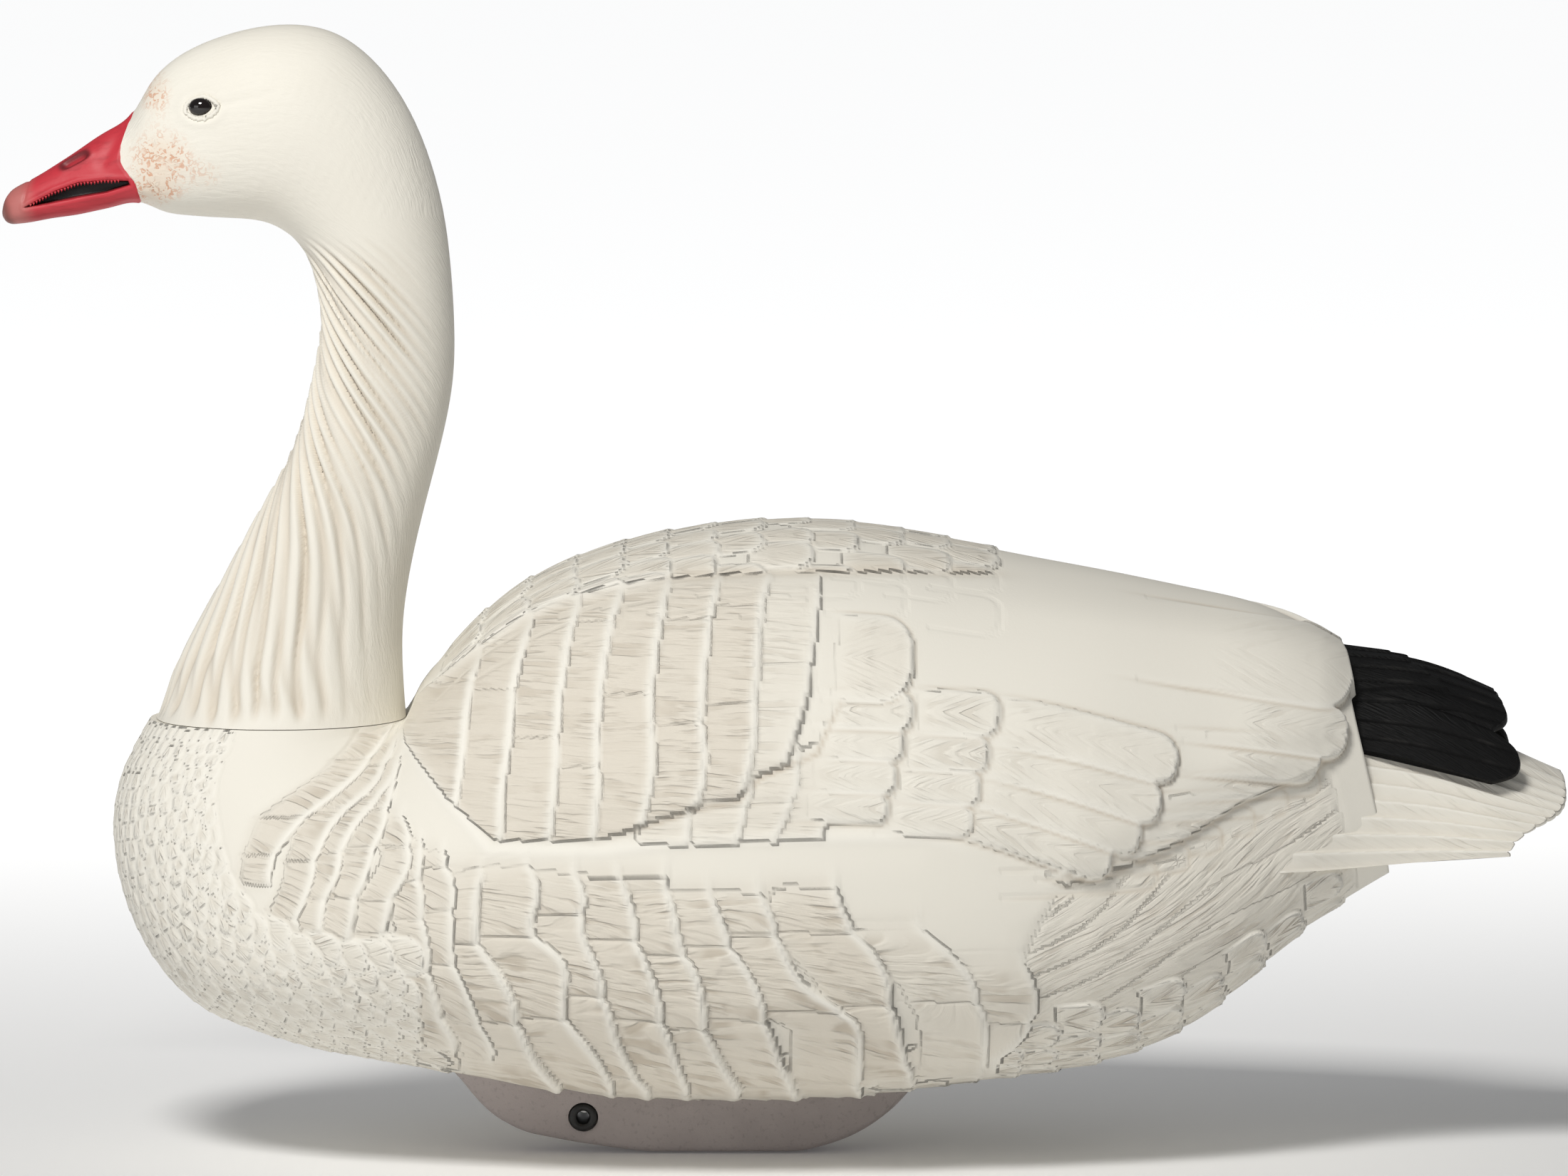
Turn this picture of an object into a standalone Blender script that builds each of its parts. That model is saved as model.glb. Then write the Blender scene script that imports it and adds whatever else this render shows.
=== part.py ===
"""Floating snow goose decoy: hollow body, removable head that turns in a round socket, weighted keel.

Run with blender --background --python part.py. Lengths are millimetres, turned into metres when a mesh is
made. The bird faces -X, +Z is up, and the origin lies on the ground under the middle of the whole decoy.
"""

import math

import bmesh
import bpy
import numpy as np

MM = 0.001
GAP = 0.3  # clearance left between pieces that touch

# The bird's skin: one row for each cross-section, from the rump to the tip of the bill. A section lies in
# the plane through its upper point (x, z) and its lower point (x, z). Then come its half width, how far up
# from the lower point it is widest, and how square it is above and below that line (2 is an ellipse).
BIRD = [
    (203.0, 186.5, 222.0, 104.0, 47.0, 0.42, 2.1, 3.2),
    (180.0, 199.5, 190.0, 83.5, 62.0, 0.45, 2.1, 3.0),
    (152.0, 207.0, 156.0, 54.0, 78.0, 0.45, 2.1, 2.7),
    (120.0, 213.5, 122.0, 37.0, 92.0, 0.45, 2.1, 2.5),
    (80.0, 221.0, 80.0, 29.5, 104.0, 0.45, 2.1, 2.4),
    (30.0, 230.5, 30.0, 24.3, 111.0, 0.45, 2.1, 2.4),
    (-20.0, 231.0, -22.0, 22.4, 113.0, 0.45, 2.1, 2.4),
    (-65.0, 222.0, -66.0, 24.2, 110.0, 0.46, 2.1, 2.4),
    (-99.0, 206.5, -105.0, 29.3, 104.0, 0.47, 2.1, 2.4),
    (-118.5, 189.7, -134.0, 33.8, 97.0, 0.48, 2.1, 2.3),
    (-130.0, 176.5, -162.0, 38.2, 90.0, 0.49, 2.05, 2.25),
    (-135.4, 168.0, -192.0, 45.0, 83.0, 0.5, 2.0, 2.2),
    (-137.2, 163.4, -218.0, 57.0, 75.0, 0.5, 2.0, 2.15),
    (-138.0, 161.4, -237.0, 81.0, 66.0, 0.5, 2.0, 2.1),
    (-138.4, 160.6, -246.0, 111.0, 58.0, 0.5, 2.0, 2.05),
    (-138.7, 160.2, -243.5, 139.0, 51.5, 0.5, 2.0, 2.0),
    (-139.0, 160.0, -233.0, 160.0, 47.0, 0.5, 2.0, 2.0),
    (-140.2, 178.0, -224.5, 178.5, 41.5, 0.5, 2.0, 2.0),
    (-139.5, 201.0, -212.0, 202.0, 35.5, 0.5, 2.0, 2.0),
    (-134.0, 230.0, -196.5, 230.0, 30.0, 0.5, 2.0, 2.0),
    (-126.5, 259.0, -182.0, 257.0, 26.0, 0.5, 2.0, 2.0),
    (-121.5, 285.0, -174.0, 282.0, 23.5, 0.5, 2.0, 2.0),
    (-121.0, 306.0, -170.5, 302.0, 23.0, 0.5, 2.0, 2.0),
    (-122.3, 327.0, -171.5, 319.0, 23.0, 0.5, 2.0, 2.0),
    (-124.8, 346.0, -175.5, 331.0, 23.5, 0.5, 2.0, 2.0),
    (-131.0, 369.0, -182.5, 338.8, 24.5, 0.5, 2.0, 2.1),
    (-143.5, 393.5, -190.5, 342.6, 25.5, 0.48, 2.0, 2.2),
    (-163.0, 411.0, -199.0, 343.8, 26.0, 0.45, 2.0, 2.3),
    (-184.0, 414.7, -209.0, 344.3, 25.0, 0.43, 2.0, 2.3),
    (-204.0, 411.0, -219.0, 345.0, 22.5, 0.42, 2.0, 2.3),
    (-220.5, 403.8, -228.0, 345.8, 18.5, 0.4, 2.0, 2.3),
    (-232.0, 393.0, -236.0, 347.0, 15.0, 0.38, 2.0, 2.3),
    (-239.5, 381.0, -242.0, 347.8, 12.5, 0.34, 2.0, 2.4),
    (-248.0, 375.2, -249.5, 347.4, 11.5, 0.3, 1.9, 2.5),
    (-258.0, 368.6, -259.0, 345.6, 10.5, 0.28, 1.9, 2.5),
    (-267.5, 362.4, -268.0, 344.3, 9.8, 0.3, 1.9, 2.4),
    (-276.0, 357.4, -275.5, 342.9, 9.2, 0.34, 2.0, 2.3),
    (-282.5, 353.8, -281.0, 342.2, 7.8, 0.4, 2.1, 2.2),
    (-285.6, 350.0, -284.8, 342.6, 5.0, 0.45, 2.1, 2.1),
    (-286.4, 346.6, -286.2, 344.4, 1.8, 0.5, 2.0, 2.0),
]
SEAM = 16  # row of BIRD where the neck meets the body: a level circle
THROAT = 24  # row of BIRD where the neck meets the head
BILL = 32  # row of BIRD where the bill begins
NECK_ROWS = 6  # how many rows either side of the seam follow the neck's radius

# Overall sizes. BIRD is drawn at these sizes, and its rows follow them when they change.
BODY_LENGTH = 425.4  # from the back of the neck to the end of the tail
BODY_WIDTH = 226.0
NECK_HEIGHT = 171.0  # from the seam to the throat
NECK_RADIUS = 47.0  # at the seam

BODY_WALL = 3.5
HEAD_WALL = 3.0
RUMP_WALL = 10.5  # where the hollow starts, along the bird from the rump's end face
BODY_SECTIONS = 36
HEAD_SECTIONS = 40
BODY_HOLLOW_SECTIONS = 26
HEAD_HOLLOW_SECTIONS = 24
BODY_SIDES = 32
HEAD_SIDES = 22
HOLLOW_SIDES = 20
HEAD_START = 2.0  # from the seam to the neck's second section, along the bird
BELLY_STEPS = 160
SKIN_STEPS = 200
PAST = 5.0  # how far a cutter runs past the face that it cuts

# The neck's socket, all round the vertical axis at NECK_X.
NECK_X = (BIRD[SEAM][0] + BIRD[SEAM][2]) / 2
SEAM_Z = BIRD[SEAM][1]
COLLAR_DEPTH = 9.0  # solid body under the seam, round the socket
NECK_RIM = 5.0  # width of the body's top face outside the flange
FLANGE_RADIUS = NECK_RADIUS - NECK_RIM
FLANGE = 2.6
FLANGE_LEDGE = 8.8
CUP_BORE = FLANGE_RADIUS - FLANGE_LEDGE
CUP_WALL = 4.5
CUP_DEPTH = 45.0
CUP_FLOOR = 3.0
CUP_ROOM = 12.0  # free height kept under the cup's floor
SPIGOT_WALL = 3.0
SPIGOT_REST = 3.0  # room between the spigot's end and the cup's floor
SPIGOT_PLAY = 0.6
RING_DROP = 22.0  # from the seam to the middle of the seal ring
RING_HEIGHT = 3.6
RING_GROOVE = 1.4
TURNED_SIDES = 32

# The tail, an arch over the x axis: x, top z, half width at its foot. The foot lies at TAIL_FOOT.
TAIL = [
    (204.0, 172.0, 43.0),
    (235.0, 165.0, 44.5),
    (262.0, 151.0, 44.0),
    (286.4, 139.5, 39.0),
]
TAIL_FOOT = 110.0
TAIL_THICK = 5.0
TAIL_CORNER = 14.0  # how much shorter the tail is at its feet than on top
TAIL_SQUARE = 6  # how late along the arch that shortening comes
TAIL_ARCS = 18
TAIL_STEPS = 8
# The wing tips' own arch over the tail, and how far back each feather group reaches: degrees from the top,
# end x.
WINGTIP = [
    (200.0, 186.2, 49.0),
    (235.0, 180.5, 48.0),
    (270.0, 166.0, 45.0),
]
WINGTIP_THICK = 3.5
WINGTIP_STEPS = 6
WINGTIP_EDGE = [
    (1.5, 258.0),
    (14.0, 262.0),
    (30.0, 264.0),
    (38.0, 259.5),
    (47.0, 267.5),
    (56.0, 266.0),
    (62.0, 258.0),
]
REAR_STEP = 0.4  # room between the rump's end face and what is fixed to it
REAR_TRIES = 4  # rounds that settle where an arch meets the sloping end face

# The keel: lower edge as (x, z), and its other sizes.
KEEL_EDGE = [
    (-123.0, 31.0),
    (-117.0, 23.0),
    (-108.0, 13.5),
    (-96.0, 7.2),
    (-77.0, 3.6),
    (-60.0, 1.1),
    (-50.0, 0.0),
    (6.0, 0.0),
    (18.0, 3.0),
    (28.0, 7.0),
    (38.0, 13.5),
    (45.0, 20.0),
    (49.5, 26.0),
]
KEEL_HALF = 17.0
KEEL_SLOPE = 4.0  # how much narrower its lower edge is, each side
KEEL_FOOT = KEEL_HALF - KEEL_SLOPE
KEEL_ROUND = 3.5
KEEL_BLUNT = 5  # how late its plan narrows towards its ends
KEEL_TIP = 1.2  # half width at its very ends
KEEL_LEAST = 1.5  # height that is left at its ends
KEEL_SHARES = (-1, -0.5, 0, 0.5, 1)  # across its top face
KEEL_EXTRA = [-88.0, -37.0, -22.0, -8.0]  # cross-sections added between those of its edge
GASKET_THICK = 1.5
GASKET_INSET = 3.0
KEEL_DROP = GASKET_THICK + 2 * GAP  # from the belly to the keel's top face
POCKETS = {"front": (-64.0, -38.0), "rear": (-17.0, 19.0)}
POCKET_WALL = 3.0
POCKET_HALF = KEEL_FOOT - POCKET_WALL
POCKET_FLOOR = 4.5
BALLAST_ROOM = 1.0  # free height over the ballast
LINE_X = -73.9
LINE_Z = 13.4
LINE_BORE = 3.1
BUSH_WALL = 2.1
LINE_HOLE = LINE_BORE + BUSH_WALL + GAP
LINE_LIP = 0.7
SCREWS = {"front": -97.0, "middle": -27.5, "rear": 31.0}
SCREW_RADIUS = 2.0
SCREW_RIM = 1.8
SCREW_HEAD = SCREW_RADIUS + SCREW_RIM
SCREW_HEAD_THICK = 2.8
SCREW_SLOT = (1.4, 1.2)  # radius and depth of the head's recess
SCREW_EDGE = 0.6
SCREW_END = 1.0  # thread left over the end of the screw
WASHER_RIM = 0.5
WASHER = SCREW_HEAD + WASHER_RIM
WASHER_THICK = 1.0
SCREW_FLOOR = 4.6  # keel left between the washer and the gasket
HOLE_PLAY = 0.1
INSERT_WALL = 1.7
INSERT_RADIUS = SCREW_RADIUS + GAP + INSERT_WALL
INSERT_LENGTH = 9.5
INSERT_COVER = 0.8
BOSS_WALL = 4.0
BOSS_RADIUS = INSERT_RADIUS + BOSS_WALL
BOSS_TOP = 3.7  # solid over the insert
BOSS_HEIGHT = INSERT_COVER + INSERT_LENGTH + BOSS_TOP
GASKET_PLAY = 1.0
SMALL_SIDES = 16
LINE_SIDES = 24

EYE = (-214.0, 381.7)
EYE_SIZE = (4.7, 3.6)
EYE_DOME = 3.4
EYE_SET = 1.7  # how far its middle lies inside the skin
EYE_RINGS = 6
EYE_SIDES = 12
GAPE = [  # the open line between the bill's halves, cut into each side down to GAPE_WEB from the middle
    (-277.5, 345.8),
    (-262.0, 350.6),
    (-247.0, 356.2),
    (-240.5, 357.0),
    (-240.0, 353.2),
    (-252.0, 349.8),
    (-265.0, 346.6),
]
GAPE_WEB = 4.5

VENT_X = 96.0
VENT_RADIUS = 3.5
VENT_RIM = 3.0
VENT_HEAD = VENT_RADIUS + VENT_RIM
VENT_HEAD_THICK = 1.8
VENT_EDGE = 1.0
VENT_STEM = 9.0


def clear_scene():
    for thing in list(bpy.data.objects):
        bpy.data.objects.remove(thing, do_unlink=True)


def finish(name):
    """(colour, roughness, metallic) by the start of a piece's name."""
    kinds = {
        "body": ((0.87, 0.84, 0.76), 0.6, 0.0),
        "head": ((0.88, 0.86, 0.79), 0.6, 0.0),
        "tail": ((0.88, 0.85, 0.78), 0.6, 0.0),
        "bill": ((0.60, 0.07, 0.08), 0.45, 0.0),
        "primaries": ((0.012, 0.012, 0.013), 0.5, 0.0),
        "eye": ((0.015, 0.010, 0.008), 0.08, 0.0),
        "keel_shell": ((0.36, 0.32, 0.30), 0.75, 0.0),
        "keel_gasket": ((0.03, 0.03, 0.03), 0.9, 0.0),
        "keel_screw": ((0.60, 0.60, 0.60), 0.3, 1.0),
        "keel_washer": ((0.60, 0.60, 0.60), 0.3, 1.0),
        "keel_insert": ((0.75, 0.55, 0.25), 0.35, 1.0),
        "ballast": ((0.20, 0.19, 0.18), 0.9, 0.0),
        "line": ((0.01, 0.01, 0.01), 0.3, 0.0),
        "socket": ((0.70, 0.68, 0.62), 0.5, 0.0),
        "neck": ((0.70, 0.68, 0.62), 0.5, 0.0),
        "seal": ((0.02, 0.02, 0.02), 0.7, 0.0),
        "vent": ((0.02, 0.02, 0.02), 0.7, 0.0),
    }
    return next(look for start, look in kinds.items() if name.startswith(start))


def material(name):
    made = bpy.data.materials.new(name)
    made.use_nodes = True
    shader = made.node_tree.nodes["Principled BSDF"]
    colour, roughness, metallic = finish(name)
    shader.inputs["Base Color"].default_value = (*colour, 1.0)
    shader.inputs["Roughness"].default_value = roughness
    shader.inputs["Metallic"].default_value = metallic
    made.diffuse_color = (*colour, 1.0)
    return made


def piece(name, points, faces, cutter=False):
    """An object from points in millimetres, its faces turned outwards."""
    mesh = bpy.data.meshes.new(name)
    mesh.from_pydata([tuple(MM * float(value) for value in point) for point in points], [], faces)
    shape = bmesh.new()
    shape.from_mesh(mesh)
    bmesh.ops.triangulate(shape, faces=shape.faces)
    bmesh.ops.recalc_face_normals(shape, faces=shape.faces)
    shape.to_mesh(mesh)
    shape.free()
    thing = bpy.data.objects.new(name, mesh)
    bpy.context.scene.collection.objects.link(thing)
    if cutter:
        thing.hide_render = True
        thing.display_type = "WIRE"
    else:
        mesh.materials.append(material(name))
        mesh.shade_smooth()
        mesh.set_sharp_from_angle(angle=math.radians(35))
    return thing


def boolean(target, tool, operation="DIFFERENCE"):
    modifier = target.modifiers.new(tool.name, "BOOLEAN")
    modifier.object = tool
    modifier.operation = operation
    modifier.solver = "EXACT"


def boolean_all(target, tools):
    """Cuts several tools that lie apart in one go, as one mesh."""
    shape = bmesh.new()
    for tool in tools:
        shape.from_mesh(tool.data)
    shape.to_mesh(tools[0].data)
    shape.free()
    for tool in tools[1:]:
        bpy.data.objects.remove(tool, do_unlink=True)
    boolean(target, tools[0])


def tube_faces(rings, sides, around=False):
    """Faces of rings of points in a row; with around, the last ring joins the first and nothing is capped."""
    faces = []
    for ring in range(rings if around else rings - 1):
        low, high = ring * sides, (ring + 1) % rings * sides
        for side in range(sides):
            after = (side + 1) % sides
            faces.append((low + side, low + after, high + after, high + side))
    if not around:
        faces.append(tuple(range(sides)))
        faces.append(tuple((rings - 1) * sides + side for side in range(sides)))
    return faces


def turned(name, profile, centre, direction="Z", sides=TURNED_SIDES, cutter=False):
    """A closed profile of (radius, height) turned round an axis; radius 0 makes a pole."""
    points, faces, rings = [], [], []
    for radius, height in profile:
        count = sides if radius > 0 else 1
        rings.append(list(range(len(points), len(points) + count)))
        for side in range(count):
            angle = 2 * math.pi * (side + 0.5) / sides
            across, along = radius * math.cos(angle), radius * math.sin(angle)
            if direction == "Z":
                points.append((centre[0] + across, centre[1] + along, centre[2] + height))
            else:
                points.append((centre[0] + across, centre[1] + height, centre[2] + along))
    for low, high in zip(rings, rings[1:] + rings[:1]):
        if len(low) == 1 and len(high) == 1:
            continue
        for side in range(sides):
            after = (side + 1) % sides
            corners = [low[side % len(low)], low[after % len(low)]]
            corners += [high[after % len(high)], high[side % len(high)]]
            faces.append(tuple(dict.fromkeys(corners)))
    return piece(name, points, faces, cutter)


def prism(name, outline, low, high, cutter=True):
    """An outline of (x, z) drawn out along Y."""
    points = [(x, y, z) for y in (low, high) for x, z in outline]
    return piece(name, points, tube_faces(2, len(outline)), cutter)


def block(name, low, high, cutter=False):
    outline = [(low[0], low[2]), (high[0], low[2]), (high[0], high[2]), (low[0], high[2])]
    return prism(name, outline, low[1], high[1], cutter)


def natural_spline(knots, rows, places):
    """Values at places of the smooth curve through rows at knots, column by column."""
    knots, rows = np.array(knots, float), np.array(rows, float)
    step = np.diff(knots)
    count = len(knots)
    matrix = np.eye(count)
    right = np.zeros(rows.shape)
    for index in range(1, count - 1):
        before, after = step[index - 1], step[index]
        matrix[index, index - 1 : index + 2] = before, 2 * (before + after), after
        ahead = (rows[index + 1] - rows[index]) / after
        behind = (rows[index] - rows[index - 1]) / before
        right[index] = 6 * (ahead - behind)
    bend = np.linalg.solve(matrix, right)
    places = np.atleast_1d(np.asarray(places, float))
    span = np.clip(np.searchsorted(knots, places, side="right") - 1, 0, count - 2)
    width = step[span][:, None]
    after = (places - knots[span])[:, None]
    before = width - after
    curve = (bend[span] * before**3 + bend[span + 1] * after**3) / (6 * width)
    line = (rows[span] / width - bend[span] * width / 6) * before
    return curve + line + (rows[span + 1] / width - bend[span + 1] * width / 6) * after


def body_x(x):
    """Where a drawn x lies at the body's length: what is behind the neck moves with it."""
    back = BIRD[SEAM][0]
    drawn = TAIL[-1][0] - back
    return x if x < back else back + (x - back) * BODY_LENGTH / drawn


def neck_z(z):
    """Where a drawn z over the seam lies at the neck's height: the neck stretches and lifts the head."""
    drawn = BIRD[THROAT][3] - SEAM_Z
    share = min(max((z - SEAM_Z) / drawn, 0.0), 1.0)
    return z + share * (NECK_HEIGHT - drawn)


def fitted_lines():
    """The rows of BIRD at the driving sizes."""
    radius = BIRD[SEAM][4]
    widest = max(row[4] for row in BIRD)
    fuller = (BODY_WIDTH / 2 - radius) / (widest - radius)
    lines = []
    for number, row in enumerate(BIRD):
        near = max(0.0, 1 - abs(number - SEAM) / NECK_ROWS)
        grown = 1 + near * (NECK_RADIUS / radius - 1)
        upper_x, lower_x = (NECK_X + (body_x(x) - NECK_X) * grown for x in (row[0], row[2]))
        upper_z, lower_z = (neck_z(z) if number > SEAM else z for z in (row[1], row[3]))
        half = radius + (row[4] - radius) * fuller if number < SEAM else row[4]
        lines.append((upper_x, upper_z, lower_x, lower_z, half * grown, *row[5:]))
    return lines


LINES = fitted_lines()
TAIL_LINES = [(body_x(row[0]), *row[1:]) for row in TAIL]
WINGTIP_LINES = [(body_x(row[0]), *row[1:]) for row in WINGTIP]


def bird_knots():
    """How far along the bird each row of LINES lies: the mean way of its upper and lower points."""
    rows = np.array(LINES)
    upper = np.hypot(*np.diff(rows[:, 0:2], axis=0).T)
    lower = np.hypot(*np.diff(rows[:, 2:4], axis=0).T)
    return np.concatenate([[0.0], np.cumsum((upper + lower) / 2)])


KNOTS = bird_knots()


def bird_rows(places):
    return natural_spline(KNOTS, LINES, places)


def section(row, sides, inset=0.0):
    """One closed cross-section of the bird, moved in from the skin by inset."""
    upper, lower = np.array([row[0], row[1]]), np.array([row[2], row[3]])
    up = (upper - lower) / np.linalg.norm(upper - lower)
    upper, lower = upper - up * inset, lower + up * inset
    height = np.linalg.norm(upper - lower)
    middle = lower + up * height * row[5]
    points = []
    for side in range(sides):
        angle = 2 * math.pi * side / sides
        across, along = math.sin(angle), math.cos(angle)
        power = 2 / (row[6] if along > 0 else row[7])
        reach = height * (1 - row[5]) if along > 0 else height * row[5]
        width = (row[4] - inset) * math.copysign(abs(across) ** power, across)
        rise = reach * math.copysign(abs(along) ** power, along)
        spot = middle + up * rise
        points.append((spot[0], width, spot[1]))
    return points


def bird_loft(name, start, end, sections, sides, inset=0.0, lead=(), cutter=False):
    """The bird's skin between two places along it; lead holds rows put before the first."""
    rows = list(lead) + list(bird_rows(np.linspace(start, end, sections)))
    points = [point for row in rows for point in section(row, sides, inset)]
    return piece(name, points, tube_faces(len(rows), sides), cutter)


def belly(x, y):
    """Height of the underside at (x, y), near the middle of the body."""
    rows = bird_rows(np.linspace(KNOTS[1], KNOTS[12], BELLY_STEPS))
    up = rows[:, 0:2] - rows[:, 2:4]
    height = np.linalg.norm(up, axis=1)
    up = up / height[:, None]
    drop = (1 - (abs(y) / rows[:, 4]) ** rows[:, 7]) ** (1 / rows[:, 7])
    spots = rows[:, 2:4] + up * (height * rows[:, 5] * (1 - drop))[:, None]
    return float(np.interp(x, spots[::-1, 0], spots[::-1, 1]))


def seat(x):
    """Height of the keel's top face over its middle line: the belly less the gasket and its two gaps."""
    return belly(x, 0.0) - KEEL_DROP


def build_body():
    body = bird_loft("body_shell", KNOTS[0], KNOTS[SEAM], BODY_SECTIONS, BODY_SIDES)
    start = KNOTS[0] + RUMP_WALL
    sections = BODY_HOLLOW_SECTIONS
    hollow = bird_loft("body_hollow", start, KNOTS[SEAM], sections, HOLLOW_SIDES, BODY_WALL, cutter=True)
    wide, low, high = NECK_RADIUS + PAST, -COLLAR_DEPTH, 4 * PAST
    profile = [(0, low), (wide, low), (wide, high), (0, high)]
    boolean(hollow, turned("collar", profile, (NECK_X, 0, SEAM_Z), cutter=True))
    bosses = []
    for name, x in SCREWS.items():
        height = PAST + BOSS_HEIGHT
        profile = [(0, 0), (BOSS_RADIUS, 0), (BOSS_RADIUS, height), (0, height)]
        foot = (x, 0, belly(x, 0.0) - PAST)
        bosses.append(turned("boss_" + name, profile, foot, sides=SMALL_SIDES, cutter=True))
    boolean_all(hollow, bosses)
    boolean(body, hollow)
    cup, lip = CUP_BORE + CUP_WALL + GAP, FLANGE_RADIUS + GAP
    low, step = -CUP_DEPTH - CUP_FLOOR - CUP_ROOM, -FLANGE - GAP
    profile = [(0, low), (cup, low), (cup, step), (lip, step), (lip, PAST), (0, PAST)]
    holes = [turned("body_holes", profile, (NECK_X, 0, SEAM_Z), cutter=True)]
    for name, x in SCREWS.items():
        hole, height = INSERT_RADIUS + GAP, PAST + INSERT_COVER + INSERT_LENGTH + GAP
        profile = [(0, 0), (hole, 0), (hole, height), (0, height)]
        foot = (x, 0, belly(x, 0.0) - PAST)
        holes.append(turned("insert_hole_" + name, profile, foot, sides=SMALL_SIDES, cutter=True))
    profile = [(0, -PAST), (VENT_RADIUS, -PAST), (VENT_RADIUS, 2 * PAST), (0, 2 * PAST)]
    middle = (VENT_X, 0, belly(VENT_X, 0.0))
    holes.append(turned("vent_hole", profile, middle, sides=SMALL_SIDES, cutter=True))
    boolean_all(body, holes)


def build_vent_plug():
    radius, thick, edge = VENT_HEAD, VENT_HEAD_THICK, VENT_EDGE
    stem = VENT_RADIUS - GAP
    top = min(belly(VENT_X - radius, 0.0), belly(VENT_X, 0.0)) - GAP
    profile = [(0, -thick), (radius - edge, -thick), (radius, -thick / 2), (radius, 0)]
    profile += [(stem, 0), (stem, VENT_STEM - edge), (stem - edge, VENT_STEM), (0, VENT_STEM)]
    turned("vent_plug", profile, (VENT_X, 0, top), sides=SMALL_SIDES)


def build_socket():
    outer, low = CUP_BORE + CUP_WALL, -CUP_DEPTH - CUP_FLOOR
    profile = [(0, low), (outer, low), (outer, -FLANGE), (FLANGE_RADIUS, -FLANGE), (FLANGE_RADIUS, 0)]
    profile += [(CUP_BORE, 0), (CUP_BORE, -CUP_DEPTH), (0, -CUP_DEPTH)]
    turned("socket_cup", profile, (NECK_X, 0, SEAM_Z))


def build_spigot():
    outer = CUP_BORE - SPIGOT_PLAY
    inner = outer - SPIGOT_WALL
    groove = outer - RING_GROOVE
    foot = SPIGOT_REST - CUP_DEPTH
    low, high = (-RING_DROP + sign * (RING_HEIGHT / 2 + GAP) for sign in (-1, 1))
    narrowest = NECK_X - bird_rows(KNOTS[SEAM] + FLANGE + 2 * GAP)[0][2]
    rim = (narrowest - HEAD_WALL) * math.cos(math.pi / HOLLOW_SIDES) - GAP
    profile = [(inner, foot), (outer, foot), (outer, low), (groove, low), (groove, high), (outer, high)]
    profile += [(outer, GAP), (rim, GAP), (rim, GAP + FLANGE), (inner, GAP + FLANGE)]
    turned("neck_spigot", profile, (NECK_X, 0, SEAM_Z))
    inside, outside = groove + GAP, CUP_BORE - GAP
    half = RING_HEIGHT / 2
    profile = [(inside, -half), ((inside + outside) / 2, -half), (outside, -half / 2), (outside, half / 2)]
    profile += [((inside + outside) / 2, half), (inside, half)]
    turned("seal_ring", profile, (NECK_X, 0, SEAM_Z - RING_DROP))


def build_head():
    foot = LINES[SEAM]
    start, sections = KNOTS[SEAM] + HEAD_START, HEAD_HOLLOW_SECTIONS
    raised = (foot[0], foot[1] + GAP, foot[2], foot[3] + GAP, *foot[4:])
    head = bird_loft("head_neck", start, KNOTS[-1], HEAD_SECTIONS, HEAD_SIDES, lead=[raised])
    lowered = (foot[0], foot[1] - PAST, foot[2], foot[3] - PAST, *foot[4:])
    end = (KNOTS[BILL - 2] + KNOTS[BILL - 3]) / 2
    inset, lead = HEAD_WALL, [lowered]
    hollow = bird_loft("head_hollow", start, end, sections, HOLLOW_SIDES, inset, lead, cutter=True)
    boolean(head, hollow)
    gape = [(x, neck_z(z)) for x, z in GAPE]
    wide = max(row[4] for row in LINES[BILL:]) + PAST
    left, right = prism("gape_left", gape, -wide, -GAPE_WEB), prism("gape_right", gape, GAPE_WEB, wide)
    boolean_all(head, [left, right])
    head.data.materials.append(material("bill"))
    border, lowest = LINES[BILL][0], LINES[BILL][3] - 2 * PAST
    for face in head.data.polygons:
        spot = face.center / MM
        face.material_index = 1 if spot.x < border and spot.z > lowest else 0
    return head


def skin_width(x, z):
    """Half width of the head at (x, z)."""
    rows = bird_rows(np.linspace(KNOTS[THROAT], KNOTS[BILL], SKIN_STEPS))
    best = None
    for row in rows:
        up = np.array([row[0] - row[2], row[1] - row[3]])
        height = np.linalg.norm(up)
        up = up / height
        reach = np.array([x, z]) - row[2:4]
        off = abs(reach[0] * up[1] - reach[1] * up[0])
        along = reach @ up / height - row[5]
        share = along / (1 - row[5]) if along > 0 else -along / row[5]
        power = row[6] if along > 0 else row[7]
        if share < 1 and (best is None or off < best[0]):
            best = (off, row[4] * (1 - share**power) ** (1 / power))
    return best[1]


def eye_shape(name, side, extra, cutter):
    """A flattened dome at the eye's place, grown all round by extra."""
    rings, sides = EYE_RINGS, EYE_SIDES
    eye_x, eye_z = EYE[0], neck_z(EYE[1])
    middle = side * (skin_width(eye_x, eye_z) - EYE_SET)
    points, faces = [], []
    for ring in range(1, rings):
        polar = math.pi * ring / rings
        for step in range(sides):
            turn = 2 * math.pi * step / sides
            x = eye_x + (EYE_SIZE[0] + extra) * math.sin(polar) * math.cos(turn)
            z = eye_z + (EYE_SIZE[1] + extra) * math.sin(polar) * math.sin(turn)
            points.append((x, middle + (EYE_DOME + extra) * math.cos(polar), z))
    for ring in range(rings - 2):
        for step in range(sides):
            after = (step + 1) % sides
            low, high = ring * sides, (ring + 1) * sides
            faces.append((low + step, low + after, high + after, high + step))
    for ring, pole in ((0, 1), (rings - 2, -1)):
        points.append((eye_x, middle + pole * (EYE_DOME + extra), eye_z))
        for step in range(sides):
            faces.append((ring * sides + step, ring * sides + (step + 1) % sides, len(points) - 1))
    return piece(name, points, faces, cutter)


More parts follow.
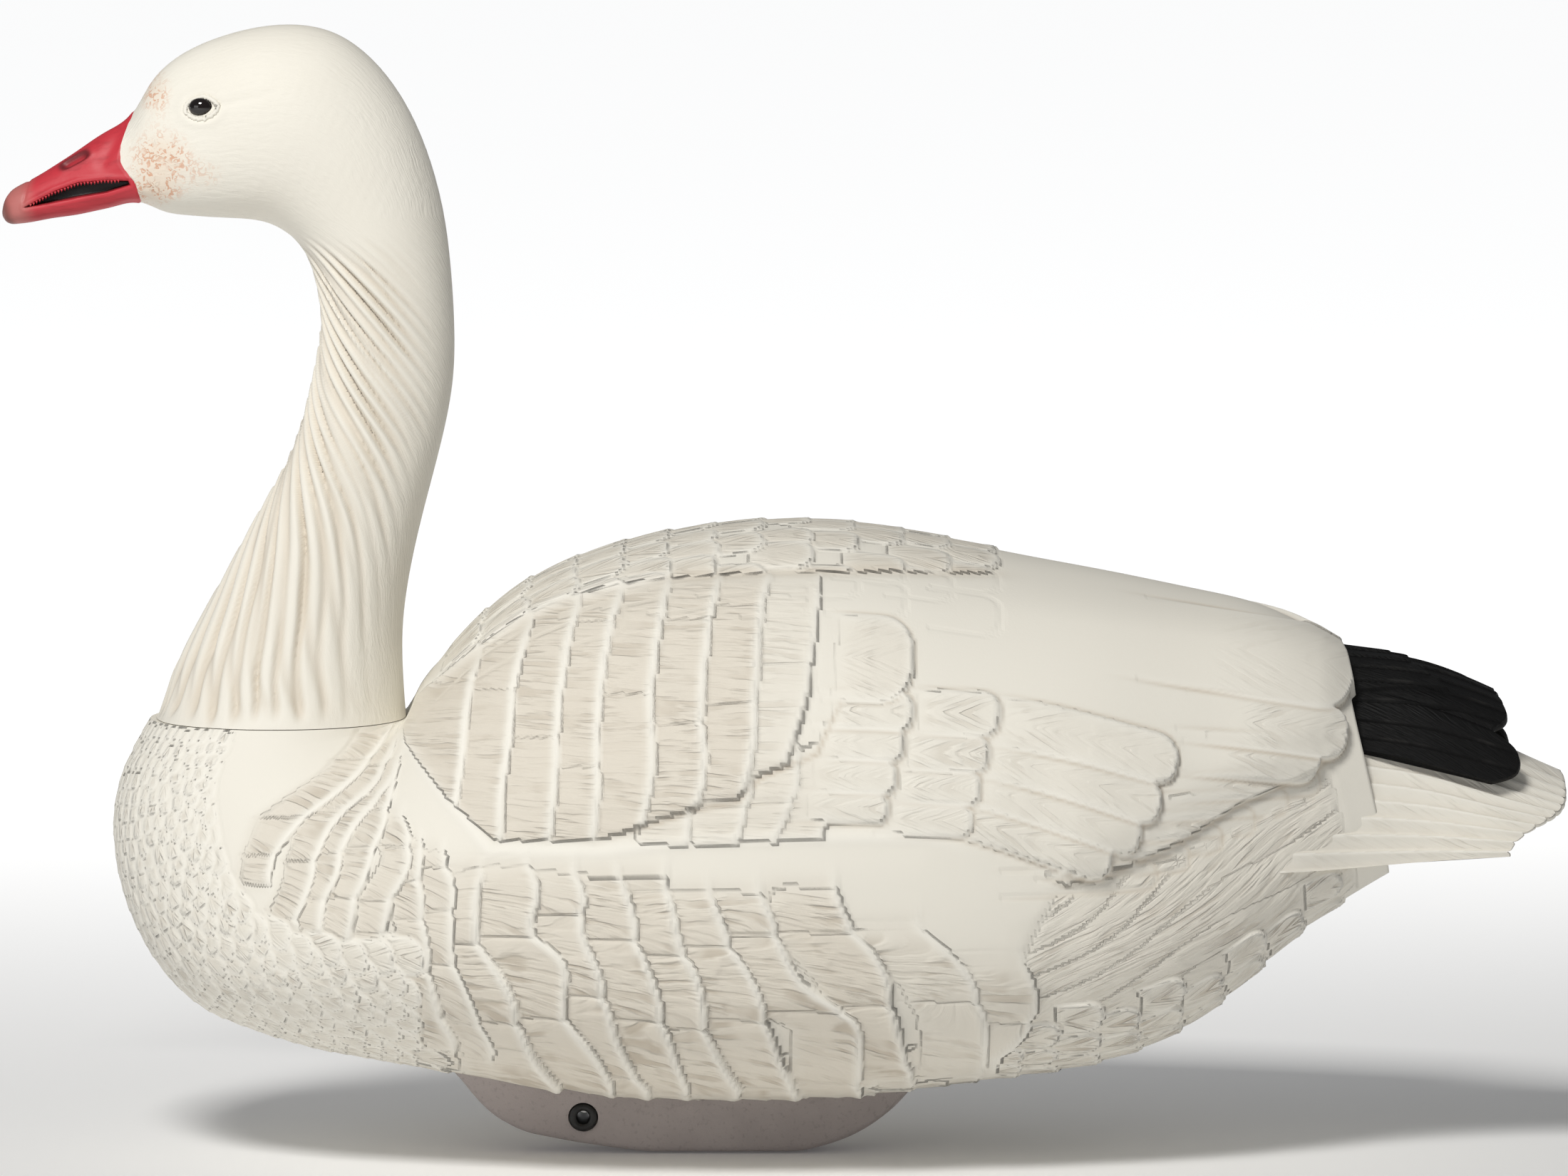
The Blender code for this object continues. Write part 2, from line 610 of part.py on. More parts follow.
def build_eyes(head):
    sockets = []
    for side, word in ((-1, "left"), (1, "right")):
        eye_shape("eye_" + word, side, 0.0, False)
        sockets.append(eye_shape("eye_socket_" + word, side, GAP, True))
    boolean_all(head, sockets)


def arch_point(table, x, angle, lift):
    top, half = natural_spline([row[0] for row in table], [row[1:] for row in table], x)[0]
    height = top - TAIL_FOOT + lift
    return (x, (half + lift) * math.sin(angle), TAIL_FOOT + height * math.cos(angle))


def rump_end(z):
    """Where the rump's end face lies at height z."""
    upper_x, upper_z, lower_x, lower_z = LINES[0][:4]
    return lower_x + (upper_x - lower_x) * (z - lower_z) / (upper_z - lower_z)


def arch_plate(name, table, angles, ends, thick, steps):
    """A curved plate over the tail's arch, from the rump back to the given end of each angle."""
    rings = []
    for angle, end in zip(angles, ends):
        first = LINES[0][0]
        for _ in range(REAR_TRIES):
            first = rump_end(arch_point(table, first, angle, -thick)[2]) + REAR_STEP
        along = [first + (end - first) * step / steps for step in range(steps + 1)]
        outer = [arch_point(table, x, angle, 0.0) for x in along]
        inner = [arch_point(table, x, angle, -thick) for x in reversed(along)]
        rings.append(outer + inner)
    points = [point for ring in rings for point in ring]
    return piece(name, points, tube_faces(len(rings), 2 * (steps + 1)))


def build_tail():
    angles = [math.radians(-90 + 180 * step / TAIL_ARCS) for step in range(TAIL_ARCS + 1)]
    last = TAIL_LINES[-1][0]
    ends = [last - TAIL_CORNER * abs(math.sin(angle)) ** TAIL_SQUARE for angle in angles]
    arch_plate("tail_fan", TAIL_LINES, angles, ends, TAIL_THICK, TAIL_STEPS)


def build_wingtips():
    ends = [body_x(row[1]) for row in WINGTIP_EDGE]
    for side, word in ((-1, "left"), (1, "right")):
        angles = [side * math.radians(row[0]) for row in WINGTIP_EDGE]
        arch_plate("primaries_" + word, WINGTIP_LINES, angles, ends, WINGTIP_THICK, WINGTIP_STEPS)


def keel_half(x, half, inset):
    """Half width of a boat-shaped plan between the keel's two ends."""
    first, last = KEEL_EDGE[0][0] + inset, KEEL_EDGE[-1][0] - inset
    share = (2 * x - first - last) / (last - first)
    return max((half - inset) * (1 - abs(share) ** KEEL_BLUNT) ** 0.5, KEEL_TIP)


def keel_low(x):
    return float(np.interp(x, [row[0] for row in KEEL_EDGE], [row[1] for row in KEEL_EDGE]))


def keel_stations(inset):
    """The keel's cross-sections along x: those of its edge, and more where the belly curves."""
    first, last = KEEL_EDGE[0][0] + inset, KEEL_EDGE[-1][0] - inset
    inner = [row[0] for row in KEEL_EDGE if first + 2 < row[0] < last - 2]
    return sorted([first + GAP, last - GAP] + inner + KEEL_EXTRA)


def build_keel():
    points, stations = [], keel_stations(0.0)
    for x in stations:
        top = keel_half(x, KEEL_HALF, 0.0)
        foot = min(keel_half(x, KEEL_FOOT, 0.0), top)
        low = min(keel_low(x), belly(x, top) - KEEL_DROP - KEEL_LEAST)
        soft = min(KEEL_ROUND, 0.6 * foot, 0.4 * (seat(x) - low))
        for share in KEEL_SHARES:
            points.append((x, share * top, belly(x, share * top) - KEEL_DROP))
        points.append((x, foot, low + soft))
        points.append((x, foot - 0.3 * soft, low + 0.3 * soft))
        points.append((x, foot - soft, low))
        points.append((x, soft - foot, low))
        points.append((x, 0.3 * soft - foot, low + 0.3 * soft))
        points.append((x, -foot, low + soft))
    keel = piece("keel_shell", points, tube_faces(len(stations), len(points) // len(stations)))
    high = max(belly(x, KEEL_HALF) for x in (KEEL_EDGE[0][0], KEEL_EDGE[-1][0])) + PAST
    cuts = []
    for name, (first, last) in POCKETS.items():
        low, top = (first, -POCKET_HALF, POCKET_FLOOR), (last, POCKET_HALF, high)
        cuts.append(block("pocket_" + name, low, top, cutter=True))
        full = min(seat(first), seat(last)) - BALLAST_ROOM
        low = (first + GAP, GAP - POCKET_HALF, POCKET_FLOOR + GAP)
        block("ballast_" + name, low, (last - GAP, POCKET_HALF - GAP, full))
    wide = KEEL_HALF + PAST
    profile = [(0, -wide), (LINE_HOLE, -wide), (LINE_HOLE, wide), (0, wide)]
    cuts.append(turned("line_hole", profile, (LINE_X, 0, LINE_Z), "Y", LINE_SIDES, cutter=True))
    for name, x in SCREWS.items():
        hole, bore = SCREW_RADIUS + GAP + HOLE_PLAY, WASHER + GAP
        step = seat(x) - SCREW_FLOOR
        profile = [(0, -PAST), (bore, -PAST), (bore, step), (hole, step), (hole, high), (0, high)]
        cuts.append(turned("screw_hole_" + name, profile, (x, 0, 0), sides=SMALL_SIDES, cutter=True))
    boolean_all(keel, cuts)


def build_gasket():
    points, stations = [], keel_stations(GASKET_INSET)
    for x in stations:
        half = keel_half(x, KEEL_HALF, GASKET_INSET)
        points += [(x, share * half, belly(x, share * half) - GAP) for share in KEEL_SHARES]
        low = GAP + GASKET_THICK
        points += [(x, share * half, belly(x, share * half) - low) for share in reversed(KEEL_SHARES)]
    gasket = piece("keel_gasket", points, tube_faces(len(stations), 2 * len(KEEL_SHARES)))
    high = max(point[2] for point in points) + PAST
    holes = []
    for name, x in SCREWS.items():
        hole = SCREW_RADIUS + GASKET_PLAY
        profile = [(0, 0), (hole, 0), (hole, high), (0, high)]
        holes.append(turned("gasket_hole_" + name, profile, (x, 0, 0), sides=SMALL_SIDES, cutter=True))
    boolean_all(gasket, holes)


def build_line_bush():
    outer, lip = LINE_HOLE - GAP, LINE_LIP
    share = (LINE_Z - keel_low(LINE_X)) / (seat(LINE_X) - keel_low(LINE_X))
    half = KEEL_FOOT + KEEL_SLOPE * share
    profile = [(LINE_BORE, lip - half), (LINE_BORE + lip, -half), (outer - lip, -half), (outer, lip - half)]
    profile += [(outer, half - lip), (outer - lip, half), (LINE_BORE + lip, half), (LINE_BORE, half - lip)]
    turned("line_bush", profile, (LINE_X, 0, LINE_Z), "Y", LINE_SIDES)


def build_fasteners():
    bore = SCREW_RADIUS + GAP
    for name, x in SCREWS.items():
        high = seat(x) - SCREW_FLOOR - GAP
        low = high - WASHER_THICK
        profile = [(bore, low), (WASHER, low), (WASHER, high), (bore, high)]
        turned("keel_washer_" + name, profile, (x, 0, 0), sides=SMALL_SIDES)
        foot = belly(x, 0.0) + INSERT_COVER
        tip = foot + INSERT_LENGTH - SCREW_END
        top = low - GAP
        face, deep = top - SCREW_HEAD_THICK, top - SCREW_HEAD_THICK + SCREW_SLOT[1]
        profile = [(0, deep), (SCREW_SLOT[0], deep), (SCREW_SLOT[0], face), (SCREW_HEAD - SCREW_EDGE, face)]
        profile += [(SCREW_HEAD, face + SCREW_EDGE), (SCREW_HEAD, top), (SCREW_RADIUS, top)]
        profile += [(SCREW_RADIUS, tip), (0, tip)]
        turned("keel_screw_" + name, profile, (x, 0, 0), sides=SMALL_SIDES)
        head = foot + INSERT_LENGTH
        profile = [(bore, foot), (INSERT_RADIUS, foot), (INSERT_RADIUS, head), (bore, head)]
        turned("keel_insert_" + name, profile, (x, 0, 0), sides=SMALL_SIDES)


clear_scene()
build_body()
build_vent_plug()
build_socket()
build_spigot()
build_eyes(build_head())
build_tail()
build_wingtips()
build_keel()
build_gasket()
build_line_bush()
build_fasteners()
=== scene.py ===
"""Floating snow goose decoy: its plumage, bill, eyes, tail, wing tips and keel, made round the CAD frame.

Lengths in the tables are millimetres, turned into metres when a mesh is made. The bird faces -X and +Z is up.
"""

import math

import bmesh
import bpy
import numpy as np
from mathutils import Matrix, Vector


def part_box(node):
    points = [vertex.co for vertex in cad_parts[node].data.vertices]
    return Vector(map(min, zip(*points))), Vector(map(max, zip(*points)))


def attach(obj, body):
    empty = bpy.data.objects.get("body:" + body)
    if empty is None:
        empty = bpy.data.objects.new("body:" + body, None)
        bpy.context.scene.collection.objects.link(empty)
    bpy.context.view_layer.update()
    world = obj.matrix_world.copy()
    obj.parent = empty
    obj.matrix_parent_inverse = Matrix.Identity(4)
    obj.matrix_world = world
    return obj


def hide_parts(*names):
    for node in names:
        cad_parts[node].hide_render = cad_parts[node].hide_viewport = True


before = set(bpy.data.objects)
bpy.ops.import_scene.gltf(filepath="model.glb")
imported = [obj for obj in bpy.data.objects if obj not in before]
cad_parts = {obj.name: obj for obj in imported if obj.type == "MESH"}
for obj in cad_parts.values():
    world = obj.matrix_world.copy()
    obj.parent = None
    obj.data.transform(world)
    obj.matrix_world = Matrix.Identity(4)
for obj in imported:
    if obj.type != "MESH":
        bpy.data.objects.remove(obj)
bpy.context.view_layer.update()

bl_info = {
    "name": "Floating goose decoy",
    "version": (1, 0, 0),
    "blender": (4, 5, 0),
    "location": "View3D > Sidebar > Decoy",
    "description": "Builds the looks of a hollow moulded goose decoy round its frame",
    "category": "Object",
}

MM = 0.001
SIDES = ((-1, "left"), (1, "right"))  # the sign of y on each side

# The bird's skin: one row for each cross-section, from the rump to the tip of the bill. A section lies in
# the plane through its upper point (x, z) and its lower point (x, z). Then come its half width, how far up
# from the lower point it is widest, and how square it is above and below that line (2 is an ellipse).
BIRD = np.array([
    (203.0, 186.5, 222.0, 104.0, 47.0, 0.42, 2.1, 3.2),
    (180.0, 199.5, 190.0, 83.5, 62.0, 0.45, 2.1, 3.0),
    (152.0, 207.0, 156.0, 54.0, 78.0, 0.45, 2.1, 2.7),
    (120.0, 213.5, 122.0, 37.0, 92.0, 0.45, 2.1, 2.5),
    (80.0, 221.0, 80.0, 29.5, 104.0, 0.45, 2.1, 2.4),
    (30.0, 230.5, 30.0, 24.3, 111.0, 0.45, 2.1, 2.4),
    (-20.0, 231.0, -22.0, 22.4, 113.0, 0.45, 2.1, 2.4),
    (-65.0, 222.0, -66.0, 24.2, 110.0, 0.46, 2.1, 2.4),
    (-99.0, 206.5, -105.0, 29.3, 104.0, 0.47, 2.1, 2.4),
    (-118.5, 189.7, -134.0, 33.8, 97.0, 0.48, 2.1, 2.3),
    (-130.0, 176.5, -162.0, 38.2, 90.0, 0.49, 2.05, 2.25),
    (-135.4, 168.0, -192.0, 45.0, 83.0, 0.5, 2.0, 2.2),
    (-137.2, 163.4, -218.0, 57.0, 75.0, 0.5, 2.0, 2.15),
    (-138.0, 161.4, -237.0, 81.0, 66.0, 0.5, 2.0, 2.1),
    (-138.4, 160.6, -246.0, 111.0, 58.0, 0.5, 2.0, 2.05),
    (-138.7, 160.2, -243.5, 139.0, 51.5, 0.5, 2.0, 2.0),
    (-139.0, 160.0, -233.0, 160.0, 47.0, 0.5, 2.0, 2.0),
    (-140.2, 178.0, -224.5, 178.5, 41.5, 0.5, 2.0, 2.0),
    (-139.5, 201.0, -212.0, 202.0, 35.5, 0.5, 2.0, 2.0),
    (-134.0, 230.0, -196.5, 230.0, 30.0, 0.5, 2.0, 2.0),
    (-126.5, 259.0, -182.0, 257.0, 26.0, 0.5, 2.0, 2.0),
    (-121.5, 285.0, -174.0, 282.0, 23.5, 0.5, 2.0, 2.0),
    (-121.0, 306.0, -170.5, 302.0, 23.0, 0.5, 2.0, 2.0),
    (-122.3, 327.0, -171.5, 319.0, 23.0, 0.5, 2.0, 2.0),
    (-124.8, 346.0, -175.5, 331.0, 23.5, 0.5, 2.0, 2.0),
    (-131.0, 369.0, -182.5, 338.8, 24.5, 0.5, 2.0, 2.1),
    (-143.5, 393.5, -190.5, 342.6, 25.5, 0.48, 2.0, 2.2),
    (-163.0, 411.0, -199.0, 343.8, 26.0, 0.45, 2.0, 2.3),
    (-184.0, 414.7, -209.0, 344.3, 25.0, 0.43, 2.0, 2.3),
    (-204.0, 411.0, -219.0, 345.0, 22.5, 0.42, 2.0, 2.3),
    (-220.5, 403.8, -228.0, 345.8, 18.5, 0.4, 2.0, 2.3),
    (-232.0, 393.0, -236.0, 347.0, 15.0, 0.38, 2.0, 2.3),
    (-239.5, 381.0, -242.0, 347.8, 12.5, 0.34, 2.0, 2.4),
    (-248.0, 375.2, -249.5, 347.4, 11.5, 0.3, 1.9, 2.5),
    (-258.0, 368.6, -259.0, 345.6, 10.5, 0.28, 1.9, 2.5),
    (-267.5, 362.4, -268.0, 344.3, 9.8, 0.3, 1.9, 2.4),
    (-276.0, 357.4, -275.5, 342.9, 9.2, 0.34, 2.0, 2.3),
    (-282.5, 353.8, -281.0, 342.2, 7.8, 0.4, 2.1, 2.2),
    (-285.6, 350.0, -284.8, 342.6, 5.0, 0.45, 2.1, 2.1),
    (-286.4, 346.6, -286.2, 344.4, 1.8, 0.5, 2.0, 2.0),
])
SEAM = 16  # row where the neck meets the body
BILL = 32  # row where the bill begins
NECK_X = -186.0
SEAM_Z = 160.0
NECK_RADIUS = 47.0
FLANGE_RADIUS = 42.3
LEAN = math.radians(5.5)  # how far above level the side layouts are drawn from
BARB_STEP = 7.3  # between the barbs' patterns of two feathers or columns laid one after the other
FEATHER_STEP = 3.1  # between those of two neighbours in a column


# ---- meshes ----


def smooth(value, low=0.0, high=1.0):
    """0 below low, 1 above high, and a smooth rise between."""
    share = np.clip((value - low) / (high - low), 0.0, 1.0)
    return share * share * (3 - 2 * share)


def bell(value, width):
    """1 at 0, and a smooth fall to nothing about twice width away."""
    return np.exp(-((value / width) ** 2))


def turned(along, across, angle):
    """The two coordinates as read from axes turned by an angle."""
    c, s = math.cos(angle), math.sin(angle)
    return along * c + across * s, across * c - along * s


def grid_faces(rows, columns, around=False, closed=False):
    """Quads of a grid of points; around joins the last column to the first one, and closed the last row."""
    row = np.arange(rows if closed else rows - 1)[:, None] * columns
    column = np.arange(columns if around else columns - 1)[None, :]
    after = (column + 1) % columns
    beyond = (row + columns) % (rows * columns)
    corners = [row + column, row + after, beyond + after, beyond + column]
    return np.stack([corner.ravel() for corner in corners], axis=1)


def add_object(name, data):
    """A new object of the scene, at the origin."""
    thing = bpy.data.objects.new(name, data)
    bpy.context.scene.collection.objects.link(thing)
    return thing


def evaluated_mesh(thing):
    """A plain mesh of what an object's modifiers make."""
    graph = bpy.context.evaluated_depsgraph_get()
    return bpy.data.meshes.new_from_object(thing.evaluated_get(graph))


def make_mesh(name, points, faces, values=None, finish=None):
    """A smooth object from points in millimetres; values are its attributes, by name."""
    mesh = bpy.data.meshes.new(name)
    mesh.from_pydata((np.asarray(points) * MM).tolist(), [], [list(map(int, face)) for face in faces])
    for label, value in (values or {}).items():
        vector = np.ndim(value) > 1
        layer = mesh.attributes.new(label, "FLOAT_VECTOR" if vector else "FLOAT", "POINT")
        layer.data.foreach_set("vector" if vector else "value", np.asarray(value, np.float32).ravel())
    mesh.shade_smooth()
    if finish:
        mesh.materials.append(finish)
    return add_object(name, mesh)


def turn_out(thing):
    """Faces turned outwards, and loose doubles joined."""
    shape = bmesh.new()
    shape.from_mesh(thing.data)
    bmesh.ops.remove_doubles(shape, verts=shape.verts, dist=1e-6)
    bmesh.ops.recalc_face_normals(shape, faces=shape.faces)
    shape.to_mesh(thing.data)
    shape.free()
    return thing


def lathe(name, profile, centre, direction="Z", sides=96, finish=None):
    """A closed profile of (radius, height) turned round an axis through centre."""
    profile = np.array(profile, float)
    angle = np.linspace(0, 2 * math.pi, sides, endpoint=False)
    radius, height = profile[:, :1], profile[:, 1:]
    across, along = radius * np.cos(angle), radius * np.sin(angle)
    flat = height + 0 * angle
    axes = (across, along, flat) if direction == "Z" else (across, flat, along)
    points = np.stack(axes, axis=-1) + np.array(centre)
    faces = grid_faces(len(profile), sides, around=True, closed=True)
    thing = make_mesh(name, points.reshape(-1, 3), faces, finish=finish)
    thing.data.set_sharp_from_angle(angle=math.radians(40))
    return turn_out(thing)


def settle(thing, slot, *nodes, body="body"):
    """Hangs a finished piece on the body it rides on and hides the CAD nodes it stands for; the slot of its
    finish is not used.
    """
    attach(thing, body)
    if nodes:
        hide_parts(*nodes)
    return thing


# ---- the skin ----


def natural_spline(knots, rows, places):
    """Values at places of the smooth curve through rows at knots, column by column."""
    step = np.diff(knots)
    count = len(knots)
    matrix = np.eye(count)
    right = np.zeros(rows.shape)
    for index in range(1, count - 1):
        before, after = step[index - 1], step[index]
        matrix[index, index - 1 : index + 2] = before, 2 * (before + after), after
        ahead = (rows[index + 1] - rows[index]) / after
        behind = (rows[index] - rows[index - 1]) / before
        right[index] = 6 * (ahead - behind)
    bend = np.linalg.solve(matrix, right)
    span = np.clip(np.searchsorted(knots, places, side="right") - 1, 0, count - 2)
    width = step[span][:, None]
    after = (places - knots[span])[:, None]
    before = width - after
    curve = (bend[span] * before**3 + bend[span + 1] * after**3) / (6 * width)
    line = (rows[span] / width - bend[span] * width / 6) * before
    return curve + line + (rows[span + 1] / width - bend[span + 1] * width / 6) * after


UPPER_WAY = np.hypot(*np.diff(BIRD[:, 0:2], axis=0).T)
LOWER_WAY = np.hypot(*np.diff(BIRD[:, 2:4], axis=0).T)
KNOTS = np.concatenate([[0.0], np.cumsum((UPPER_WAY + LOWER_WAY) / 2)])
LOWER = np.concatenate([[0.0], np.cumsum(LOWER_WAY)])


def skin(places, angles):
    """Points of the skin at places along the bird and angles round it, 0 at its upper line."""
    places, angles = np.broadcast_arrays(places, angles)
    row = natural_spline(KNOTS, BIRD, places.ravel()).reshape(*places.shape, 8)
    upper, lower = row[..., 0:2], row[..., 2:4]
    height = np.linalg.norm(upper - lower, axis=-1)
    up = (upper - lower) / height[..., None]
    across, along = np.sin(angles), np.cos(angles)
    over = along > 0
    power = 2 / np.where(over, row[..., 6], row[..., 7])
    reach = height * np.where(over, 1 - row[..., 5], row[..., 5])
    width = row[..., 4] * np.sign(across) * np.abs(across) ** power
    rise = height * row[..., 5] + reach * np.sign(along) * np.abs(along) ** power
    spot = lower + up * rise[..., None]
    return np.stack([spot[..., 0], width, spot[..., 1]], axis=-1)


def grid_normals(points, around=True):
    """Outward unit normals of a grid of points, rows from rump to bill and columns round the bird."""
    along = np.gradient(points, axis=0)
    if around:
        across = (np.roll(points, -1, axis=1) - np.roll(points, 1, axis=1)) / 2
    else:
        across = np.gradient(points, axis=1)
    normal = np.cross(across, along)
    return normal / np.maximum(np.linalg.norm(normal, axis=-1, keepdims=True), 1e-9)


class Coat:
    """A stretch of skin and the plumage laid on it: relief, barbs, wash with painted shadow lines, and pale
    edges.
    """

    def __init__(self, places, angles):
        self.points = skin(places, angles)
        self.normals = grid_normals(self.points)
        self.shape = self.points.shape[:2]
        flat = self.points.reshape(-1, 3)
        self.order = np.argsort(flat[:, 0], kind="stable")
        self.x = flat[self.order, 0]
        self.folded = np.abs(flat[self.order] * (0, 1, 0)) + flat[self.order] * (1, 0, 1)
        self.facing = self.normals.reshape(-1, 3)[self.order]
        self.facing[:, 1] *= np.where(flat[self.order, 1] < 0, -1.0, 1.0)
        self.seen = turned(self.folded[:, 1], self.folded[:, 2], LEAN)[1]
        count = len(flat)
        self.rise, self.wash, self.edge = np.zeros((3, count))
        self.fine = np.full(count, 0.35)
        self.vane = np.zeros((count, 3))
        self.laid = 0
        self.region = None

    def cover(self, near, mask, relief, wash, edge, fine):
        """Lays one feather's values over the points near, and tells which of them are now its own."""
        layers = (self.rise, self.wash, self.edge, self.fine)
        for layer, value in zip(layers, (self.base[near] + relief, wash, edge, fine)):
            layer[near] += mask * (value - layer[near])
        self.fine[near] *= smooth(np.abs(mask - 0.5), 0.0, 0.35)
        self.laid += 1
        return mask > 0.5

    def lay(self, s, t, near, length, half, lift, wash, ridge=0.5, square=2.4, tip=1.0, crown=0.4,
            barb=0.35, root=0.35, fine=1.0, bend=0.0, line=0.0):
        """Lays one feather over the points near: s runs along it from its root and t across it. line is the
        strength of the painted shadow just outside its edge.
        """
        t = t - bend * half * smooth(s / length) * (s / length)
        start = length - min(tip * half, 0.9 * length)
        beyond = np.clip((s - start) / (length - start), 0.0, 4.0)
        ratio = (np.abs(t / half) ** square + beyond**square) ** (1 / square)
        margin = (1 - ratio) * half
        inside = smooth(margin, -0.55, 0.55) * (s > 0)
        band = (margin > -2.0) & (s > 0.3 * root * length)
        self.fine[near[band]] *= smooth(np.abs(margin[band]), 0.5, 1.8)
        if self.region is not None:
            inside = inside * smooth(self.region[near], -0.8, 0.8)
        # Painted shadow: a dark line just outside the feather's edge, where its raised step throws shade.
        under = line * bell(margin + 0.7, 0.7) * (s > 0) * smooth(s / length, 0.15, 0.5)
        self.wash[near] += under * (1.6 - self.wash[near])
        hit = inside > 0
        if not hit.any():
            return
        near, s, t, margin, inside = near[hit], s[hit], t[hit], margin[hit], inside[hit]
        share = np.clip(s / length, 0.0, 1.0)
        mask = inside * smooth(share / root)
        relief = lift * share + crown * (1 - (t / half) ** 2) + ridge * bell(margin, 1.5) * share
        wash = wash * smooth(margin, 0.5, 5.5) * smooth(share, 0.05, 0.5)
        pale = bell(np.maximum(margin, 0), 1.7) * (0.35 + 0.65 * share)
        own = self.cover(near, mask, relief, wash, pale, fine * smooth(margin, 0.4, 2.0))
        near, s, t = near[own], s[own], t[own]
        along, across = turned(s, np.abs(t), barb)
        self.vane[near] = np.stack([across, along, np.full(len(s), BARB_STEP * self.laid)], axis=-1)

    def lay_side(self, x, z, aim, length, half, lift, wash, **more):
        """One feather with its tip at (x, z) of the side layout, aimed in degrees from straight back."""
        reach = length + half
        first, last = np.searchsorted(self.x, [x - reach, x + reach])
        near = np.arange(first, last)
        near = near[(np.abs(self.seen[near] - z) < reach) & (self.facing[near, 1] > 0.06)]
        along, across = turned(self.x[near] - x, self.seen[near] - z, math.radians(aim))
        self.lay(along + length, across, near, length, half, lift, wash, **more)

    def lay_wrap(self, perch, length, half, lift, wash, turn=0.0, **more):
        """One feather with its tip at a perch of the skin, lying back along it, turned by some degrees."""
        spot, up, back = perch
        reach = length + half
        first, last = np.searchsorted(self.x, [spot[0] - reach, spot[0] + reach])
        near = np.arange(first, last)
        off = self.folded[near] - spot
        close = (np.abs(off @ up) < 0.6 * reach) & (self.facing[near] @ up > 0.25)
        near, off = near[close], off[close]
        along, across = turned(off @ back, off @ np.cross(up, back), math.radians(turn))
        self.lay(along + length, across, near, length, half, lift, wash, **more)

    def lay_band(self, line, length, pitch, lift, wash, shift=0.0, notch=1.6, ridge=0.5, crease=0.4,
                 crown=0.3, aim=-4.0, fan=0.25, fine=0.7, wide=1.2, fade=8.0, deepen=0.0):
        """Lays a column of feathers whose tips follow a line that runs down the side layout."""
        across, heights = np.array(line, float)[::-1].T
        first, last = np.searchsorted(self.x, [across.min() - length - 5, across.max() + 5])
        near = np.arange(first, last)
        seen = self.seen[near]
        near = near[(seen > heights[0] - fade) & (seen < heights[-1] + fade) & (self.facing[near, 1] > 0.06)]
        z = self.seen[near]
        level = np.clip(z, heights[0], heights[-1])
        tip = natural_spline(heights, across[:, None], level)[:, 0]
        lower = np.clip(level + 1, heights[0], heights[-1])
        slope = natural_spline(heights, across[:, None], lower)[:, 0] - tip
        phase = (z - heights[0]) / pitch + shift + 0.12 * np.sin(0.21 * z + 9.0 * shift)
        bulge = np.abs(np.sin(math.pi * phase))
        ahead = (tip + notch * (np.sqrt(bulge) - 1) - self.x[near]) / np.hypot(1, slope)
        inside = smooth(ahead, -0.6, 0.6)
        ends = smooth(z, heights[0] - fade, heights[0])
        ends *= 1 - smooth(z, heights[-1] - fade, heights[-1] + fade)
        if self.region is not None:
            ends = ends * smooth(self.region[near], -0.8, 0.8)
        ahead, share = np.maximum(ahead, 0), 1 - np.clip(ahead / length, 0, 1)
        mask = inside * ends * smooth(share, 0.0, 0.45)
        more = 1 + deepen * (1 - smooth(z, 35, 85))
        relief = lift * more * share**1.4 + ridge * more * bell(ahead - 1.4, 1.9)
        split = bulge * pitch / math.pi
        relief += share * (crown * more * bulge - crease * bell(split, 0.8))
        rough = fine * (0.65 + 0.35 * more) * smooth(ahead, 1.0, 3.5) * smooth(split, 0.1, 1.0)
        own = self.cover(near, mask, relief, wash * smooth(ahead, 0.8, 5.0), bell(ahead - 0.7, wide), rough)
        near, z, phase, share = near[own], z[own], phase[own], share[own]
        slant = math.tan(math.radians(aim))
        spread = fan * (phase - np.floor(phase) - 0.5) * pitch * share
        number = BARB_STEP * self.laid + FEATHER_STEP * np.floor(phase)
        self.vane[near] = np.stack([z - slant * self.x[near] - spread, self.x[near], number], axis=-1)

    def swell(self, amount):
        self.rise += amount
        self.base = self.rise.copy()

    def finish(self):
        """(points, values) as grids, with the relief raised from the skin."""
        def grid(value):
            out = np.empty_like(value)
            out[self.order] = value
            return out.reshape(*self.shape, *value.shape[1:])

        points = self.points + self.normals * grid(self.rise)[..., None]
        return points, {label: grid(getattr(self, label)) for label in ("wash", "edge", "fine", "vane")}


def perch(place, angle):
    """(point, outward normal, direction back along the bird) of the skin, at one place and angle."""
    places = np.array([place - 0.5, place + 0.5, place, place])
    near = skin(places, np.array([angle, angle, angle - 0.01, angle + 0.01]))
    back = near[0] - near[1]
    back /= np.linalg.norm(back)
    across = near[3] - near[2]
    up = np.cross(across, -back)
    up /= np.linalg.norm(up)
    return (near[0] + near[1]) / 2, up, back


def place_at(x, angle):
    """Place along the body where the line at an angle crosses x."""
    places = np.linspace(KNOTS[0], KNOTS[SEAM], 400)
    line = skin(places, np.full(400, angle))[:, 0]
    return float(np.interp(-x, -line, places))


# ---- materials ----


class Wire:
    """A socket of a material's nodes, on which Python's arithmetic adds Math nodes."""

    def __init__(self, finish, socket):
        self.finish = finish
        self.socket = socket

    def math(self, operation, *values):
        return self.finish.node("ShaderNodeMath", {"operation": operation}, dict(enumerate(values)))

    def __add__(self, other):
        return self.math("ADD", self, other)

    def __radd__(self, other):
        return self.math("ADD", other, self)

    def __sub__(self, other):
        return self.math("SUBTRACT", self, other)

    def __mul__(self, other):
        return self.math("MULTIPLY", self, other)

    def __rmul__(self, other):
        return self.math("MULTIPLY", other, self)

    def rise(self, low, high):
        """0 below low, 1 above high, smooth between; low may be the larger."""
        values = {0: self, 1: low, 2: high, 3: 0.0, 4: 1.0}
        return self.finish.node("ShaderNodeMapRange", {"interpolation_type": "SMOOTHSTEP"}, values)


